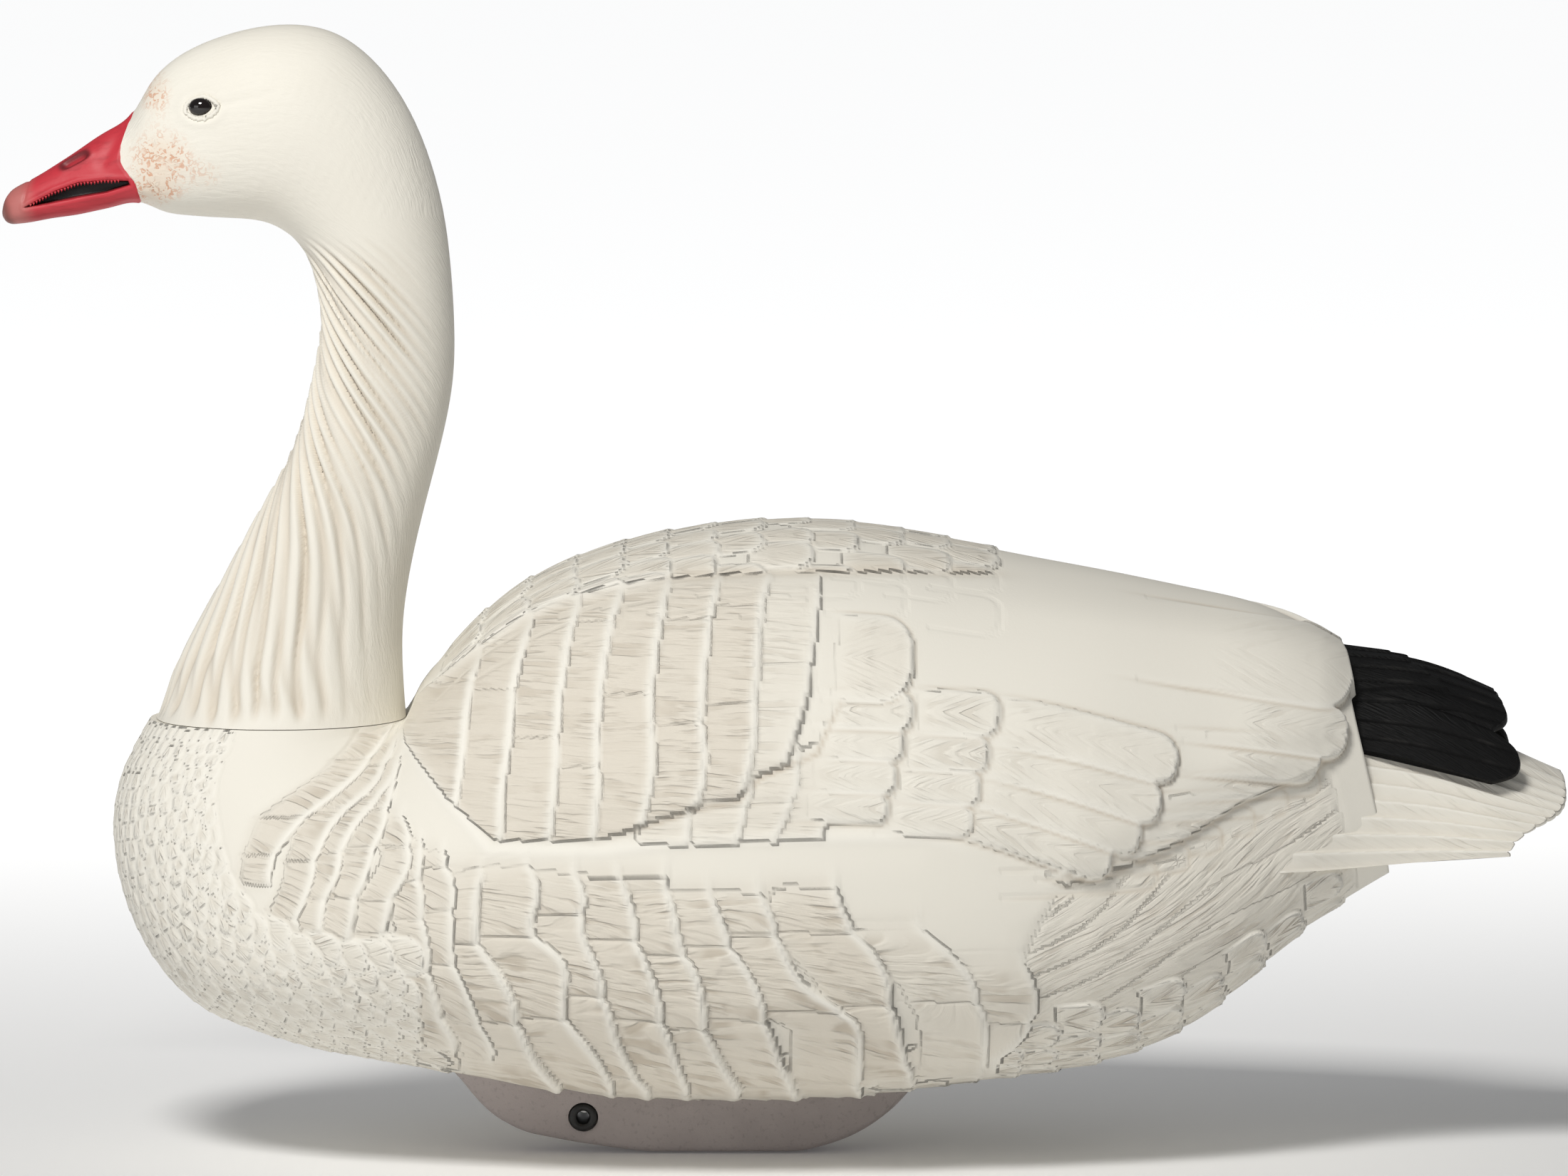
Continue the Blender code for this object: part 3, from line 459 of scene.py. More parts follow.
class Finish:
    """A material, its object coordinates in where, and the few ways in which its nodes are added."""

    def __init__(self, name):
        self.material = bpy.data.materials.new(name)
        self.material.use_nodes = True
        self.tree = self.material.node_tree
        self.shader = self.tree.nodes["Principled BSDF"]
        self.where = self.node("ShaderNodeTexCoord", output="Object")

    def node(self, kind, settings=None, values=None, output=0):
        made = self.tree.nodes.new(kind)
        for key, value in (settings or {}).items():
            setattr(made, key, value)
        for key, value in (values or {}).items():
            self.feed(made.inputs[key], value)
        return Wire(self, made.outputs[output])

    def feed(self, socket, value):
        if isinstance(value, Wire):
            self.tree.links.new(value.socket, socket)
        elif socket.type == "RGBA":
            socket.default_value = (*value, 1.0)
        else:
            socket.default_value = value

    def attribute(self, name, output="Fac"):
        return self.node("ShaderNodeAttribute", {"attribute_name": name}, output=output)

    def parts(self, vector):
        split = self.node("ShaderNodeSeparateXYZ", values={0: vector})
        return [Wire(self, socket) for socket in split.socket.node.outputs]

    def scaled(self, vector, factors):
        return self.node("ShaderNodeVectorMath", {"operation": "MULTIPLY"}, {0: vector, 1: factors})

    def shifted(self, vector, other, amount):
        """The vector pushed about by a colour's three parts."""
        centred = self.node("ShaderNodeVectorMath", {"operation": "SUBTRACT"}, {0: other, 1: (0.5, 0.5, 0.5)})
        pushed = self.scaled(centred, (amount, amount, amount))
        return self.node("ShaderNodeVectorMath", {"operation": "ADD"}, {0: vector, 1: pushed})

    def noise(self, vector, scale, detail=3.0, rough=0.55, output="Fac"):
        values = {"Vector": vector, "Scale": scale, "Detail": detail, "Roughness": rough}
        return self.node("ShaderNodeTexNoise", values=values, output=output)

    def strands(self, vector, factors, detail=3.0, rough=0.55):
        """Noise drawn out along the vector's second part."""
        return self.noise(self.scaled(vector, factors), 1.0, detail, rough)

    def mix(self, factor, first, second, blend="MIX"):
        settings = {"data_type": "RGBA", "blend_type": blend}
        return self.node("ShaderNodeMix", settings, {0: factor, 6: first, 7: second}, output=2)

    def bump(self, height, distance, strength=1.0):
        values = {"Height": height, "Distance": distance, "Strength": strength}
        return self.node("ShaderNodeBump", values=values, output="Normal")

    def done(self, colour, roughness, normal=None, **constants):
        self.feed(self.shader.inputs["Base Color"], colour)
        self.feed(self.shader.inputs["Roughness"], roughness)
        if normal is not None:
            self.feed(self.shader.inputs["Normal"], normal)
        for name, value in constants.items():
            self.shader.inputs[name.replace("_", " ")].default_value = value
        return self.material


def rgb(red, green, blue):
    """Linear colour of an 8-bit sRGB one."""
    parts = (red, green, blue)
    return tuple(((part / 255 + 0.055) / 1.055) ** 2.4 if part > 10 else part / 3294.6 for part in parts)


def plumage_finish(name, looks):
    """Painted feathers: cream with pale edges, a beige wash inside each feather that also carries painted
    shadow along feather steps, and fine combed barbs with painted shade in their grooves.
    """
    finish = Finish(name)
    where = finish.where
    vane = finish.attribute("vane", "Vector")
    wash, edge, fine = (finish.attribute(name) for name in ("wash", "edge", "fine"))
    wander = finish.noise(finish.scaled(vane, (0.09, 0.07, 1.0)), 1.0, 2.0, output="Color")
    combed = finish.shifted(vane, wander, looks.barb_wander)
    strands = finish.strands(combed, (0.62, 0.045, 1.0), 1.5, 0.5)
    hairs = finish.strands(combed, (1.7, 0.09, 1.0), 2.0, 0.6)
    bunch = finish.strands(vane, (0.10, 0.055, 1.0), 2.0).rise(0.42, 0.62)
    grain = finish.noise(where, 900.0, 2.0)
    cloud = finish.noise(where, 22.0, 3.0)
    patchy = wash * (0.72 + 0.5 * cloud)
    tone = finish.mix(patchy, looks.cream, looks.beige)
    tone = finish.mix(edge * 0.6, tone, looks.edge)
    # Painted shade: the grooves between the barbs are darkened towards the groove shade colour.
    groove_shade = strands.rise(0.5, 0.36) * fine
    tone = finish.mix(groove_shade * (0.12 + 0.45 * bunch), tone, looks.groove_shade)
    relief = strands.rise(0.36, 0.56) * fine * (0.35 + 0.65 * bunch) + hairs * fine * 0.3 + grain * 0.04
    rough = 0.56 + 0.14 * cloud
    return finish.done(tone, rough, finish.bump(relief, looks.barb_depth), Specular_IOR_Level=0.35)


# ---- sizes and colours ----


def colour_prop(name, description, *parts):
    more = {"size": 3, "subtype": "COLOR", "min": 0.0, "max": 1.0}
    return bpy.props.FloatVectorProperty(name=name, description=description, default=rgb(*parts), **more)


def number_prop(name, description, default, **more):
    return bpy.props.FloatProperty(name=name, description=description, default=default, **more)


def length_prop(name, description, default):
    return number_prop(name, description, default, unit="LENGTH")


class DecoyPlumage(bpy.types.PropertyGroup):
    cream: colour_prop("Cream", "Main colour of the plumage", 239, 235, 224)
    # The beige serves the feathers' wash and also the painted shade in steps, creases and furrows.
    beige: colour_prop("Beige", "Wash inside the feathers", 214, 204, 188)
    edge: colour_prop("Edge", "Pale paint along the feathers' edges", 250, 247, 238)
    # Groove shade is painted shade, darkening the grooves between the barbs.
    groove_shade: colour_prop("Groove", "Darker paint left between the barbs", 176, 162, 142)
    barb_depth: length_prop("Barb depth", "How deep the combed barbs are", 0.001)
    barb_wander: number_prop("Barb wander", "How far the barbs stray from straight, in millimetres", 1.3)
    lift: number_prop("Feather lift", "How far a feather's tip stands off, as a share of the drawn one", 1.0,
                      subtype="FACTOR")
    furrow: length_prop("Furrow depth", "Depth of the neck's furrows", 0.0022)


class DecoyBill(bpy.types.PropertyGroup):
    red: colour_prop("Red", "Main colour of the bill", 196, 42, 56)
    nail: colour_prop("Nail", "Colour of the bill's tip", 188, 118, 112)
    gape: colour_prop("Gape", "Colour inside the open bill", 14, 12, 12)
    rust: colour_prop("Rust", "Colour of the stain on the face", 214, 148, 108)
    tooth: length_prop("Tooth", "Length of a tooth along the bill's edge", 0.0013)


class DecoyKeel(bpy.types.PropertyGroup):
    grey: colour_prop("Grey", "Main colour of the keel", 196, 186, 183)
    grain: length_prop("Grain", "Depth of the cast grain", 0.00025)


class DecoyStage(bpy.types.PropertyGroup):
    key: number_prop("Key light", "Power of the main light, in watts", 59.0)
    sky: number_prop("Sky", "Strength of the even light all round", 0.17)
    glow: number_prop("Backdrop glow", "How far the floor's far part shines", 0.8)
    lift: number_prop("Camera lift", "How far the camera looks down", LEAN, subtype="ANGLE")
    distance: length_prop("Camera distance", "From the camera to the decoy", 4.2)
    width: length_prop("Frame width", "Width of what the camera sees at the decoy", 0.5764)
    middle: length_prop("Frame middle", "Height that the camera looks at", 0.2067)


# ---- body ----

BODY_STEP = 1.3  # between the grid's rows along the belly
BODY_COLUMNS = 560
BREAST_ROW = 9  # row of BIRD where the breast piece ends and the side pieces begin
BREAST_RINGS = 30  # rings of small feathers on the breast

# Side layouts, as (x, height) seen from the side. Each line runs down along the tips of a column of feathers.
FLANK_TIPS = [
    [(87, 72), (90, 49), (79, 38)],
    [(50, 85), (66, 70), (72, 57), (74, 38)],
    [(19, 100), (24, 88), (33, 76), (39, 65), (42, 49), (48, 34)],
    [(-8, 98), (-2, 85), (3, 72), (13, 62), (23, 56), (28, 45), (29, 28)],
    [(-25, 98), (-18, 80), (-10, 66), (-5, 52), (-1, 40), (6, 27)],
    [(-41, 104), (-38, 92), (-37, 83), (-31, 71), (-28, 58), (-25, 45), (-15, 28)],
    [(-58, 104), (-53, 91), (-50, 77), (-44, 62), (-41, 49), (-33, 28)],
    [(-74, 105), (-70, 94), (-71, 84), (-66, 72), (-62, 57), (-57, 42), (-48, 28)],
    [(-90, 107), (-87, 95), (-88, 84), (-80, 76), (-77, 64), (-76, 53), (-67, 41), (-60, 28)],
    [(-106, 104), (-109, 89), (-106, 77), (-99, 66), (-94, 53), (-88, 38), (-80, 28)],
]
FLANK_EDGE = [
    (-150, 118), (-106, 116), (-66, 112), (52, 116), (95, 92), (88, 40), (20, 8), (-180, 8), (-190, 70),
]
SHOULDER_TIPS = [
    [(-121, 112), (-117, 94), (-118, 77), (-112, 60), (-104, 42)],
    [(-129, 116), (-129, 98), (-127, 79), (-125, 62), (-118, 45)],
    [(-136, 124), (-133, 109), (-140, 93), (-142, 79), (-137, 64), (-131, 50)],
    [(-139, 141), (-143, 121), (-147, 108), (-154, 89), (-154, 72), (-149, 56)],
    [(-137, 146), (-145, 130), (-154, 120), (-160, 103), (-165, 89), (-166, 75)],
    [(-140, 152), (-148, 134), (-163, 119), (-169, 103), (-174, 88)],
    [(-142, 157), (-154, 138), (-167, 127), (-178, 117), (-185, 103)],
]
SCAPULAR_TIPS = [
    [(14, 211), (12, 190), (9, 168), (2, 146)],
    [(-4, 211), (-8, 188), (-9, 165), (-10, 150), (-13, 136)],
    [(-22, 210), (-27, 180), (-28, 158), (-27, 143), (-30, 129)],
    [(-40, 209), (-45, 180), (-46, 160), (-46, 138), (-49, 121)],
    [(-57, 207), (-62, 185), (-65, 160), (-65, 139), (-67, 118)],
    [(-72, 204), (-77, 180), (-79, 161), (-80, 145), (-83, 115)],
    [(-90, 194), (-95, 170), (-97, 150), (-99, 137), (-100, 114)],
    [(-109, 180), (-112, 161), (-114, 143), (-117, 126)],
]
MANTLE_EDGE = [
    (-145, 158), (-141, 161), (-130, 170), (-118, 179), (-105, 188.5), (-92, 197), (-78, 202.5), (-60, 206.8),
    (-41, 210), (-20, 211.8), (0, 212.5), (40, 212.8), (79, 212), (95, 211),
]
SCAPULAR_EDGE = [
    (-137, 150), (-121, 131), (-104, 116), (-66, 116), (-52, 121), (-31, 128), (-17, 130.5), (-9, 139),
    (11, 147), (17, 160), (24, 172), (34, 212.6), *reversed(MANTLE_EDGE[1:11]),
]
COVERT_TIPS = [
    [(24, 150), (22, 134), (14, 119)],
    [(6, 150), (5, 134), (-2, 118)],
    [(-10, 142), (-12, 130), (-16, 117)],
    [(-32, 132), (-34, 117)],
]
COVERTS = [  # tip x, z, half width
    (67, 122.5, 5.5), (70, 134, 6.0), (73, 146, 6.5), (77, 160, 8.0),
    (37, 127, 5.5), (40, 138, 6.0), (43, 150, 6.5), (46, 161, 7.0),
]
SECONDARIES = [  # tip x, z, aim, length, half width, bend
    (118, 113, -12, 84, 7.0, -0.9),
    (128, 123, -12, 84, 7.5, -0.9),
    (135, 134, -11, 84, 8.0, -0.8),
    (141, 148, -9, 86, 9.0, -0.6),
]
UNDER_WING = [(134, 103), (146, 109.5), (158, 116), (170, 122.5), (182, 129.5), (194, 136.5)]
TERTIALS = [  # tip x, z, aim, length, half width, bend
    (193, 143, -4, 70, 8.0, 0.0),
    (204, 152, -7, 80, 9.0, 0.0),
    (207, 174, -10, 110, 15.5, 0.0),
]
WING_EDGE = [
    (-137, 152), (-121, 131), (-105, 113), (-66, 113), (-30, 117), (13, 118), (52, 118), (82, 108),
    (101, 100), (122, 106), (142, 115), (163, 128), (179, 135), (194, 142), (206, 154), (208, 182),
    (199, 192), (150, 202), (79, 212), (0, 213), (-41, 210), (-70, 206), (-92, 197), (-118, 179),
]
FLANK_STYLE = {"notch": 2.2, "wide": 1.6}
LOWER_BANDS = [  # tips, length, pitch, lift, wash, style
    (FLANK_TIPS[:2], 32, 26, 0.7, 0.3, {
        **FLANK_STYLE, "ridge": 0.4, "crown": 0.4, "crease": 0.3, "aim": 6, "fan": 0.8, "fade": 14.0,
        "deepen": 0.4}),
    (FLANK_TIPS[2:], 33, 26, 1.2, 0.55, {
        **FLANK_STYLE, "ridge": 0.6, "crown": 0.5, "crease": 0.5, "aim": -3, "fan": 0.5, "fade": 10.0,
        "deepen": 0.7, "fine": 0.75}),
    (SHOULDER_TIPS, 15, 17, 0.8, 0.5, {
        "notch": 1.6, "ridge": 0.4, "crown": 0.2, "aim": -16, "fan": 0.4, "wide": 1.1, "deepen": 0.6}),
]
SCAPULAR_BANDS = [  # tips, lift, wash, style
    (SCAPULAR_TIPS[:1], 0.35, 0.2, {"ridge": 0.2, "crease": 0.2, "fine": 0.35, "wide": 1.2, "fade": 16.0}),
    (SCAPULAR_TIPS[1:], 0.8, 0.6, {"ridge": 0.4, "crease": 0.3, "fine": 0.5, "wide": 1.5, "fade": 12.0}),
]
QUILLS = [  # feathers, lift, wash, style
    (TERTIALS[:2], 2.8, 0.04, {"crown": 0.5, "fine": 0.3, "root": 0.8, "line": 0.6}),
    (SECONDARIES, 2.2, 0.1, {"crown": 0.5, "fine": 0.3, "root": 0.5, "line": 0.5}),
    (TERTIALS[2:], 2.8, 0.04, {"crown": 0.8, "fine": 0.12, "root": 0.95, "line": 0.5}),
]
VENT_EDGE = [(62, 30), (96, 98), (140, 112), (200, 140), (212, 96), (150, 38), (90, 20)]


def inside_outline(x, z, outline):
    """Signed distance to an outline of points, positive inside."""
    corners = np.array(outline, float)
    best = np.full(x.shape, 1e9)
    within = np.zeros(x.shape, bool)
    for (ax, az), (bx, bz) in zip(corners, np.roll(corners, -1, axis=0)):
        dx, dz = bx - ax, bz - az
        share = np.clip(((x - ax) * dx + (z - az) * dz) / (dx * dx + dz * dz), 0, 1)
        best = np.minimum(best, np.hypot(x - ax - share * dx, z - az - share * dz))
        crosses = (az > z) != (bz > z)
        reach = ax + (z - az) * dx / (dz if dz else 1e-9)
        within ^= crosses & (x < reach)
    return np.where(within, best, -best)


def lay_bands(coat, lines, rng, length, pitch, lift, wash, **more):
    """Columns of feathers whose tips follow the given lines, laid from the rear forwards."""
    for line in lines:
        width, shift = pitch * rng.uniform(0.9, 1.1), rng.uniform(0, 1)
        coat.lay_band(line, length, width, lift, wash, shift=shift, **more)


def lay_rings(coat, rng, places, first, last, half, length, lift, wash, **more):
    """Rings of feathers across the body, from the rear forwards; half, length and lift are (first, last)."""
    for number, place in enumerate(places):
        share = number / max(1, len(places) - 1)
        size, long, rise = (start + (end - start) * share for start, end in (half, length, lift))
        angles = np.linspace(first, last, 60)
        line = skin(np.full(60, place), angles)
        way = np.concatenate([[0.0], np.cumsum(np.linalg.norm(np.diff(line, axis=0), axis=1))])
        count = max(1, int(way[-1] / (1.8 * size)))
        spots = (np.arange(count + 1) + (0.5 if number % 2 else 0.0)) / count * way[-1]
        for angle in np.interp(spots[spots <= way[-1] * 1.001], way, angles):
            tip = perch(place + rng.uniform(-0.8, 0.8), angle + rng.uniform(-0.5, 0.5) * size / 120)
            raised, turn = rise * rng.uniform(0.8, 1.2), rng.uniform(-5, 5)
            coat.lay_wrap(tip, long, size, raised, wash, turn=turn, **more)


def lay_body(coat, looks):
    """All the body's plumage, from the rump forwards and from the belly up to the wing."""
    rng = np.random.default_rng(11)
    lift = looks.lift
    x, z = coat.x, coat.seen
    wing = inside_outline(x, z, WING_EDGE)
    flank = inside_outline(x, z, FLANK_EDGE)
    side = smooth(coat.facing[:, 1], 0.0, 0.35)
    coat.swell(side * smooth(wing, -4.0, 16.0) * (1.6 + 1.6 * smooth(x, 60.0, 120.0)))
    coat.swell(side * 1.6 * smooth(flank, -10.0, 14.0))
    vent(coat)
    under = [place_at(spot, math.pi) for spot in (205, 190, 175, 160, 145, 130, 115, 100, 86, 72)]
    lay_rings(coat, rng, under, math.pi, 0.72 * math.pi, (7.5, 8.5), (20, 24), (1.1 * lift, 1.3 * lift), 0.25)
    belly = [place_at(spot, math.pi) for spot in range(60, -125, -13)]
    lay_rings(coat, rng, belly, math.pi, 0.76 * math.pi, (8.0, 8.0), (24, 24), (1.3 * lift, 1.2 * lift), 0.3)
    for tips, length, pitch, rise, wash, style in LOWER_BANDS:
        lay_bands(coat, tips, rng, length, pitch, rise * lift, wash, **style)
    ways = np.linspace(LOWER[BREAST_ROW], LOWER[SEAM] - 8, BREAST_RINGS)
    breast = list(np.interp(ways, LOWER, KNOTS))
    lay_rings(coat, rng, breast, math.pi, 0.6 * math.pi, (7.5, 2.4), (20, 7), (1.0 * lift, 0.12 * lift), 0.2,
              ridge=0.15, crown=0.15, fine=0.6)
    # A raised hem along the wing's lower rear edge, with a painted shadow line just below it.
    hem = side * smooth(x, 88, 108) * (1 - smooth(z, 142, 150))
    coat.base += 1.3 * hem * smooth(wing, -0.6, 0.6)
    coat.rise += 1.3 * hem * smooth(wing, -0.6, 0.6)
    coat.wash += 0.8 * hem * bell(wing + 0.9, 0.8)
    coat.region = wing
    for spot in UNDER_WING:
        coat.lay_side(*spot, 3, 74, 4.6, 0.9 * lift, 0.05, ridge=0.1, crown=0.2, barb=0.3, root=0.8, line=0.4,
                      fine=0.4)
    coat.region = None
    for quills, rise, wash, style in QUILLS:
        for *spot, bend in quills:
            coat.lay_side(*spot, rise * lift, wash, ridge=0.1, bend=bend, **style)
    lay_bands(coat, COVERT_TIPS, rng, 24, 14, 0.6 * lift, 0.3, notch=1.0, ridge=0.3, fine=0.35, fade=5.0)
    for *spot, half in COVERTS:
        coat.lay_side(*spot, -3, 42, half, 1.5 * lift, 0.1, ridge=0.15, crown=0.3, fine=0.35, root=0.6,
                      square=2.8, line=0.4)
    coat.lay_side(46.5, 179, -4, 40, 15.5, 1.3 * lift, 0.2, ridge=0.2, crown=0.4, tip=0.9, fine=0.35,
                  root=0.6, line=0.35)
    region = inside_outline(x, z, SCAPULAR_EDGE)
    lower = side * (1 - smooth(z, 150, 200))
    coat.base += 1.5 * lift * lower * smooth(region, -1.0, 1.0) * smooth(x, -80, -40)
    # Painted shadow line just outside the scapulars' raised lower edge.
    coat.wash += 0.9 * lower * bell(region + 0.9, 0.8) * smooth(x, -75, -40) * (1 - smooth(x, 18, 22))
    coat.region = region
    for tips, rise, wash, style in SCAPULAR_BANDS:
        lay_bands(coat, tips, rng, 34, 44, rise * lift, wash, notch=1.0, crown=0.3, aim=-3, fan=0.1, **style)
    mantle = inside_outline(x, z, [*MANTLE_EDGE, (120, 300), (-160, 300)])
    coat.region = mantle
    back = [place_at(spot, 0.0) for spot in range(78, -126, -17)]
    lay_rings(coat, rng, back, 0.0, 0.2 * math.pi, (11.0, 9.0), (30, 26), (0.8 * lift, 0.9 * lift), 0.35,
              ridge=0.3, square=3.0, fine=0.5)
    coat.region = None
    # Along the mantle's edge: a pale raised ridge at the front, and behind it a groove darkened with painted
    # shade.
    front = 1 - smooth(x, -62, -30)
    crest = bell(mantle, 2.0) * smooth(x, -138, -128) * (1 - smooth(x, 66, 92))
    coat.rise += crest * (1.0 * front - 0.7 * (1 - front))
    coat.edge += crest * front * (1 - coat.edge)
    coat.wash += 0.5 * crest * (1 - front)
    brim = bell(wing + 1.0, 2.4) * side * (1 - smooth(x, 40, 80)) * (1 - smooth(z, 150, 160))
    coat.rise += 0.7 * brim
    coat.edge += 0.8 * brim * (1 - coat.edge)


def vent(coat):
    """Soft diagonal folds and strokes behind the flank, rising towards the tail, with a light painted shade
    over them.
    """
    zone = inside_outline(coat.x, coat.seen, VENT_EDGE)
    mask = smooth(zone, -4.0, 12.0) * (coat.facing[:, 1] > 0.06)
    along, across = turned(coat.x, coat.seen, math.radians(32))
    across = across + 4.0 * np.sin(along / 21.0 + across / 17.0)
    fold = across / 11.0 + 0.4 * np.sin(along / 16.0)
    coat.rise += mask * 0.3 * (np.abs(np.sin(math.pi * fold)) ** 0.7 - 0.5)
    coat.fine += mask * (0.6 - coat.fine)
    # Painted shade: the vent, low under the wing, is tinted a little darker.
    coat.wash += mask * 0.2
    coat.fine *= np.where(mask > 0, smooth(np.abs(mask - 0.3), 0.0, 0.25), 1.0)
    own = mask > 0.3
    coat.vane[own] = np.stack([across, along, 5.0 + FEATHER_STEP * np.floor(fold)], axis=-1)[own]


def split_grid(name, points, values, normals, rows, columns, finish):
    """A piece of a large grid that is shaded as one with the rest of it."""
    part = points[rows, columns]
    tall, wide = part.shape[:2]
    chosen = {}
    for label, value in values.items():
        chosen[label] = value[rows, columns].reshape(tall * wide, *value.shape[2:])
    thing = make_mesh(name, part.reshape(-1, 3), grid_faces(tall, wide), chosen, finish)
    thing.data.normals_split_custom_set_from_vertices(normals[rows, columns].reshape(-1, 3).tolist())
    return thing


class DecoyBodyOperator(bpy.types.Operator):
    """Lay the body's plumage on its skin, in a breast and two sides"""

    bl_idname = "object.decoy_body"
    bl_label = "Body plumage"

    def execute(self, context):
        looks = context.scene.decoy_plumage
        ways = np.linspace(0.0, LOWER[SEAM], int(LOWER[SEAM] / BODY_STEP))
        places = np.interp(ways, LOWER, KNOTS)
        angles = np.linspace(-math.pi, math.pi, BODY_COLUMNS, endpoint=False)
        coat = Coat(places[:, None], angles[None, :])
        lay_body(coat, looks)
        points, values = self.close_ends(*coat.finish())
        normals = grid_normals(points)
        points, normals = (np.concatenate([grid, grid[:, :1]], axis=1) for grid in (points, normals))
        values = {label: np.concatenate([grid, grid[:, :1]], axis=1) for label, grid in values.items()}
        finish = plumage_finish("body_plumage", looks)
        edge = int(np.searchsorted(ways, LOWER[BREAST_ROW]))
        half = BODY_COLUMNS // 2
        parts = {
            "body_breast": (slice(edge, None), slice(0, None)),
            "body_right": (slice(0, edge + 1), slice(half, None)),
            "body_left": (slice(0, edge + 1), slice(0, half + 1)),
        }
        made = [split_grid(name, points, values, normals, *cut, finish) for name, cut in parts.items()]
        for thing in made:
            settle(thing, "white_body", "body_shell")
        return {"FINISHED"}

    def close_ends(self, points, values):
        """Adds the rump's end face before the first row, and the socket's lip after the last one."""
        first = points[:1]
        middle = first.mean(axis=1, keepdims=True)
        caps = [middle + (first - middle) * share for share in (0.02, 0.5, 0.96)]
        angle = np.arctan2(points[-1:, :, 1], points[-1:, :, 0] - NECK_X)
        lip = []
        rings = ((NECK_RADIUS - 0.15, 0), (NECK_RADIUS - 0.6, 0), (FLANGE_RADIUS, 0), (FLANGE_RADIUS, -2.8))
        for radius, drop in rings:
            spot = [NECK_X + radius * np.cos(angle), radius * np.sin(angle), SEAM_Z + drop + 0 * angle]
            lip.append(np.stack(spot, axis=-1))
        for label, value in values.items():
            blank = value[:1] * 0
            values[label] = np.concatenate([*[blank] * len(caps), value, *[blank] * len(lip)])
        return np.concatenate([*caps, points, *lip]), values


# ---- neck and head ----

HEAD_STEP = 1.0
HEAD_COLUMNS = 290
NECK_WALL = 3.0  # width of the neck's lower face
BILL_BORDER = [(0.0, -1.5), (0.5, 0.5), (0.95, 2.8), (1.3, 2.2), (1.7, -4.0), (2.1, -8.0), (math.pi, -9.0)]
FURROW_TURN = 0.205  # angle between two furrows
FURROW_DRIFT = [  # height, angle by which the furrows have drifted back
    (150, 0.0), (185, 0.12), (215, 0.4), (240, 0.85), (262, 1.5), (285, 2.35), (310, 3.3), (345, 4.5),
]
RUST = [  # x, height, half width, half height, strength
    (-229.5, 387.5, 6.0, 9.0, 0.6), (-227.5, 363.0, 11.5, 10.0, 0.8), (-229.5, 352.5, 8.0, 5.0, 0.9),
    (-210.0, 357.0, 8.0, 7.0, 0.3),
]
EYE = (-212.2, 381.6)
EYE_SIZE = (4.8, 3.7)
EYE_DOME = 3.4
EYE_SET = 1.7  # how deep the ball's middle lies in the skin
EYE_ROWS, EYE_COLUMNS = 33, 56
LID_STEPS, LID_SIDES = 72, 12


def curve_at(table, value):
    """Smooth curve through a table of (place, value) pairs."""
    table = np.array(table, float)
    flat = np.asarray(value, float)
    found = natural_spline(table[:, 0], table[:, 1:], np.clip(flat.ravel(), table[0, 0], table[-1, 0]))
    return found[:, 0].reshape(flat.shape)


def side_layout(points):
    """(x, height) of points as the side layouts are drawn."""
    return points[..., 0], turned(np.abs(points[..., 1]), points[..., 2], LEAN)[1]


def chin(points, angles):
    """The slight tuck under the head where the bill begins."""
    return -2.7 * bell(points[..., 0] + 236.5, 8.0) * smooth(np.abs(angles), 2.0, 2.8)


def bill_border(angles):
    """Place along the bird where the bill begins, at angles round it."""
    return KNOTS[BILL] + curve_at(BILL_BORDER, np.abs(angles))


def ripple(first, second, seed, count=7):
    """Smooth random field over two coordinates that are about one unit apart from wave to wave."""
    rng = np.random.default_rng(seed)
    total = 0.0
    for _ in range(count):
        turn, start = rng.uniform(0, 2 * math.pi, 2)
        total = total + np.sin(2.4 * (first * math.cos(turn) + second * math.sin(turn)) + start)
    return total / count


def furrows(points, angles, depth):
    """Relief of the neck's furrows, which run down its front and drift back round it."""
    z = points[..., 2]
    front = math.pi - np.abs(angles)
    phase = front + curve_at(FURROW_DRIFT, z)
    relief = 0.0
    for seed, share, pitch, lean in ((3, 1.0, 1.0, 0.0), (8, 0.55, 1.27, 0.0035)):
        count = (phase + lean * (z - 160)) / (FURROW_TURN * pitch)
        count = count + 0.55 * ripple(count / 3.0, z / 38.0, seed) + 0.12 * ripple(count, z / 11.0, seed + 1)
        wave = 0.5 + 0.5 * np.cos(2 * math.pi * count)
        uneven = 0.5 + 0.5 * smooth(ripple(np.floor(count + 0.5) * 1.7, z / 45.0, seed + 2), -0.45, 0.25)
        relief = relief - share * uneven * wave**2.6
    reach = 1.95 + 0.2 * ripple(z / 15.0, phase, 5) - 0.3 * smooth(z, 290, 335)
    mask = (1 - smooth(front, reach - 0.45, reach + 0.7)) * (1 - smooth(z, 322.0, 340.0))
    low = 160.5 + 3.5 * ripple(front * 3.0, 0 * z, 9)
    return depth * relief * mask * smooth(z, low, low + 9.0)


def near_line(x, z, start, end):
    """(distance to a line from start to end, share of the way along it)."""
    dx, dz = end[0] - start[0], end[1] - start[1]
    share = np.clip(((x - start[0]) * dx + (z - start[1]) * dz) / (dx * dx + dz * dz), 0, 1)
    return np.hypot(x - start[0] - share * dx, z - start[1] - share * dz), share


def face_relief(points):
    """Brow, cheek crease and the shallow socket round the eye."""
    x, z = side_layout(points)
    off, share = near_line(x, z, (-207.5, 382.0), (-186.0, 387.0))
    relief = -0.6 * bell(off, 1.6) * (1 - 0.7 * share)
    off, share = near_line(x, z, (-219.5, 381.0), (-232.0, 372.0))
    relief += -0.3 * bell(off, 1.5) * (1 - share)
    ring = np.hypot((x - EYE[0]) / 1.25, z - EYE[1])
    relief += 0.5 * bell(ring - 6.2, 1.6) - 0.6 * bell(ring, 3.6)
    return relief


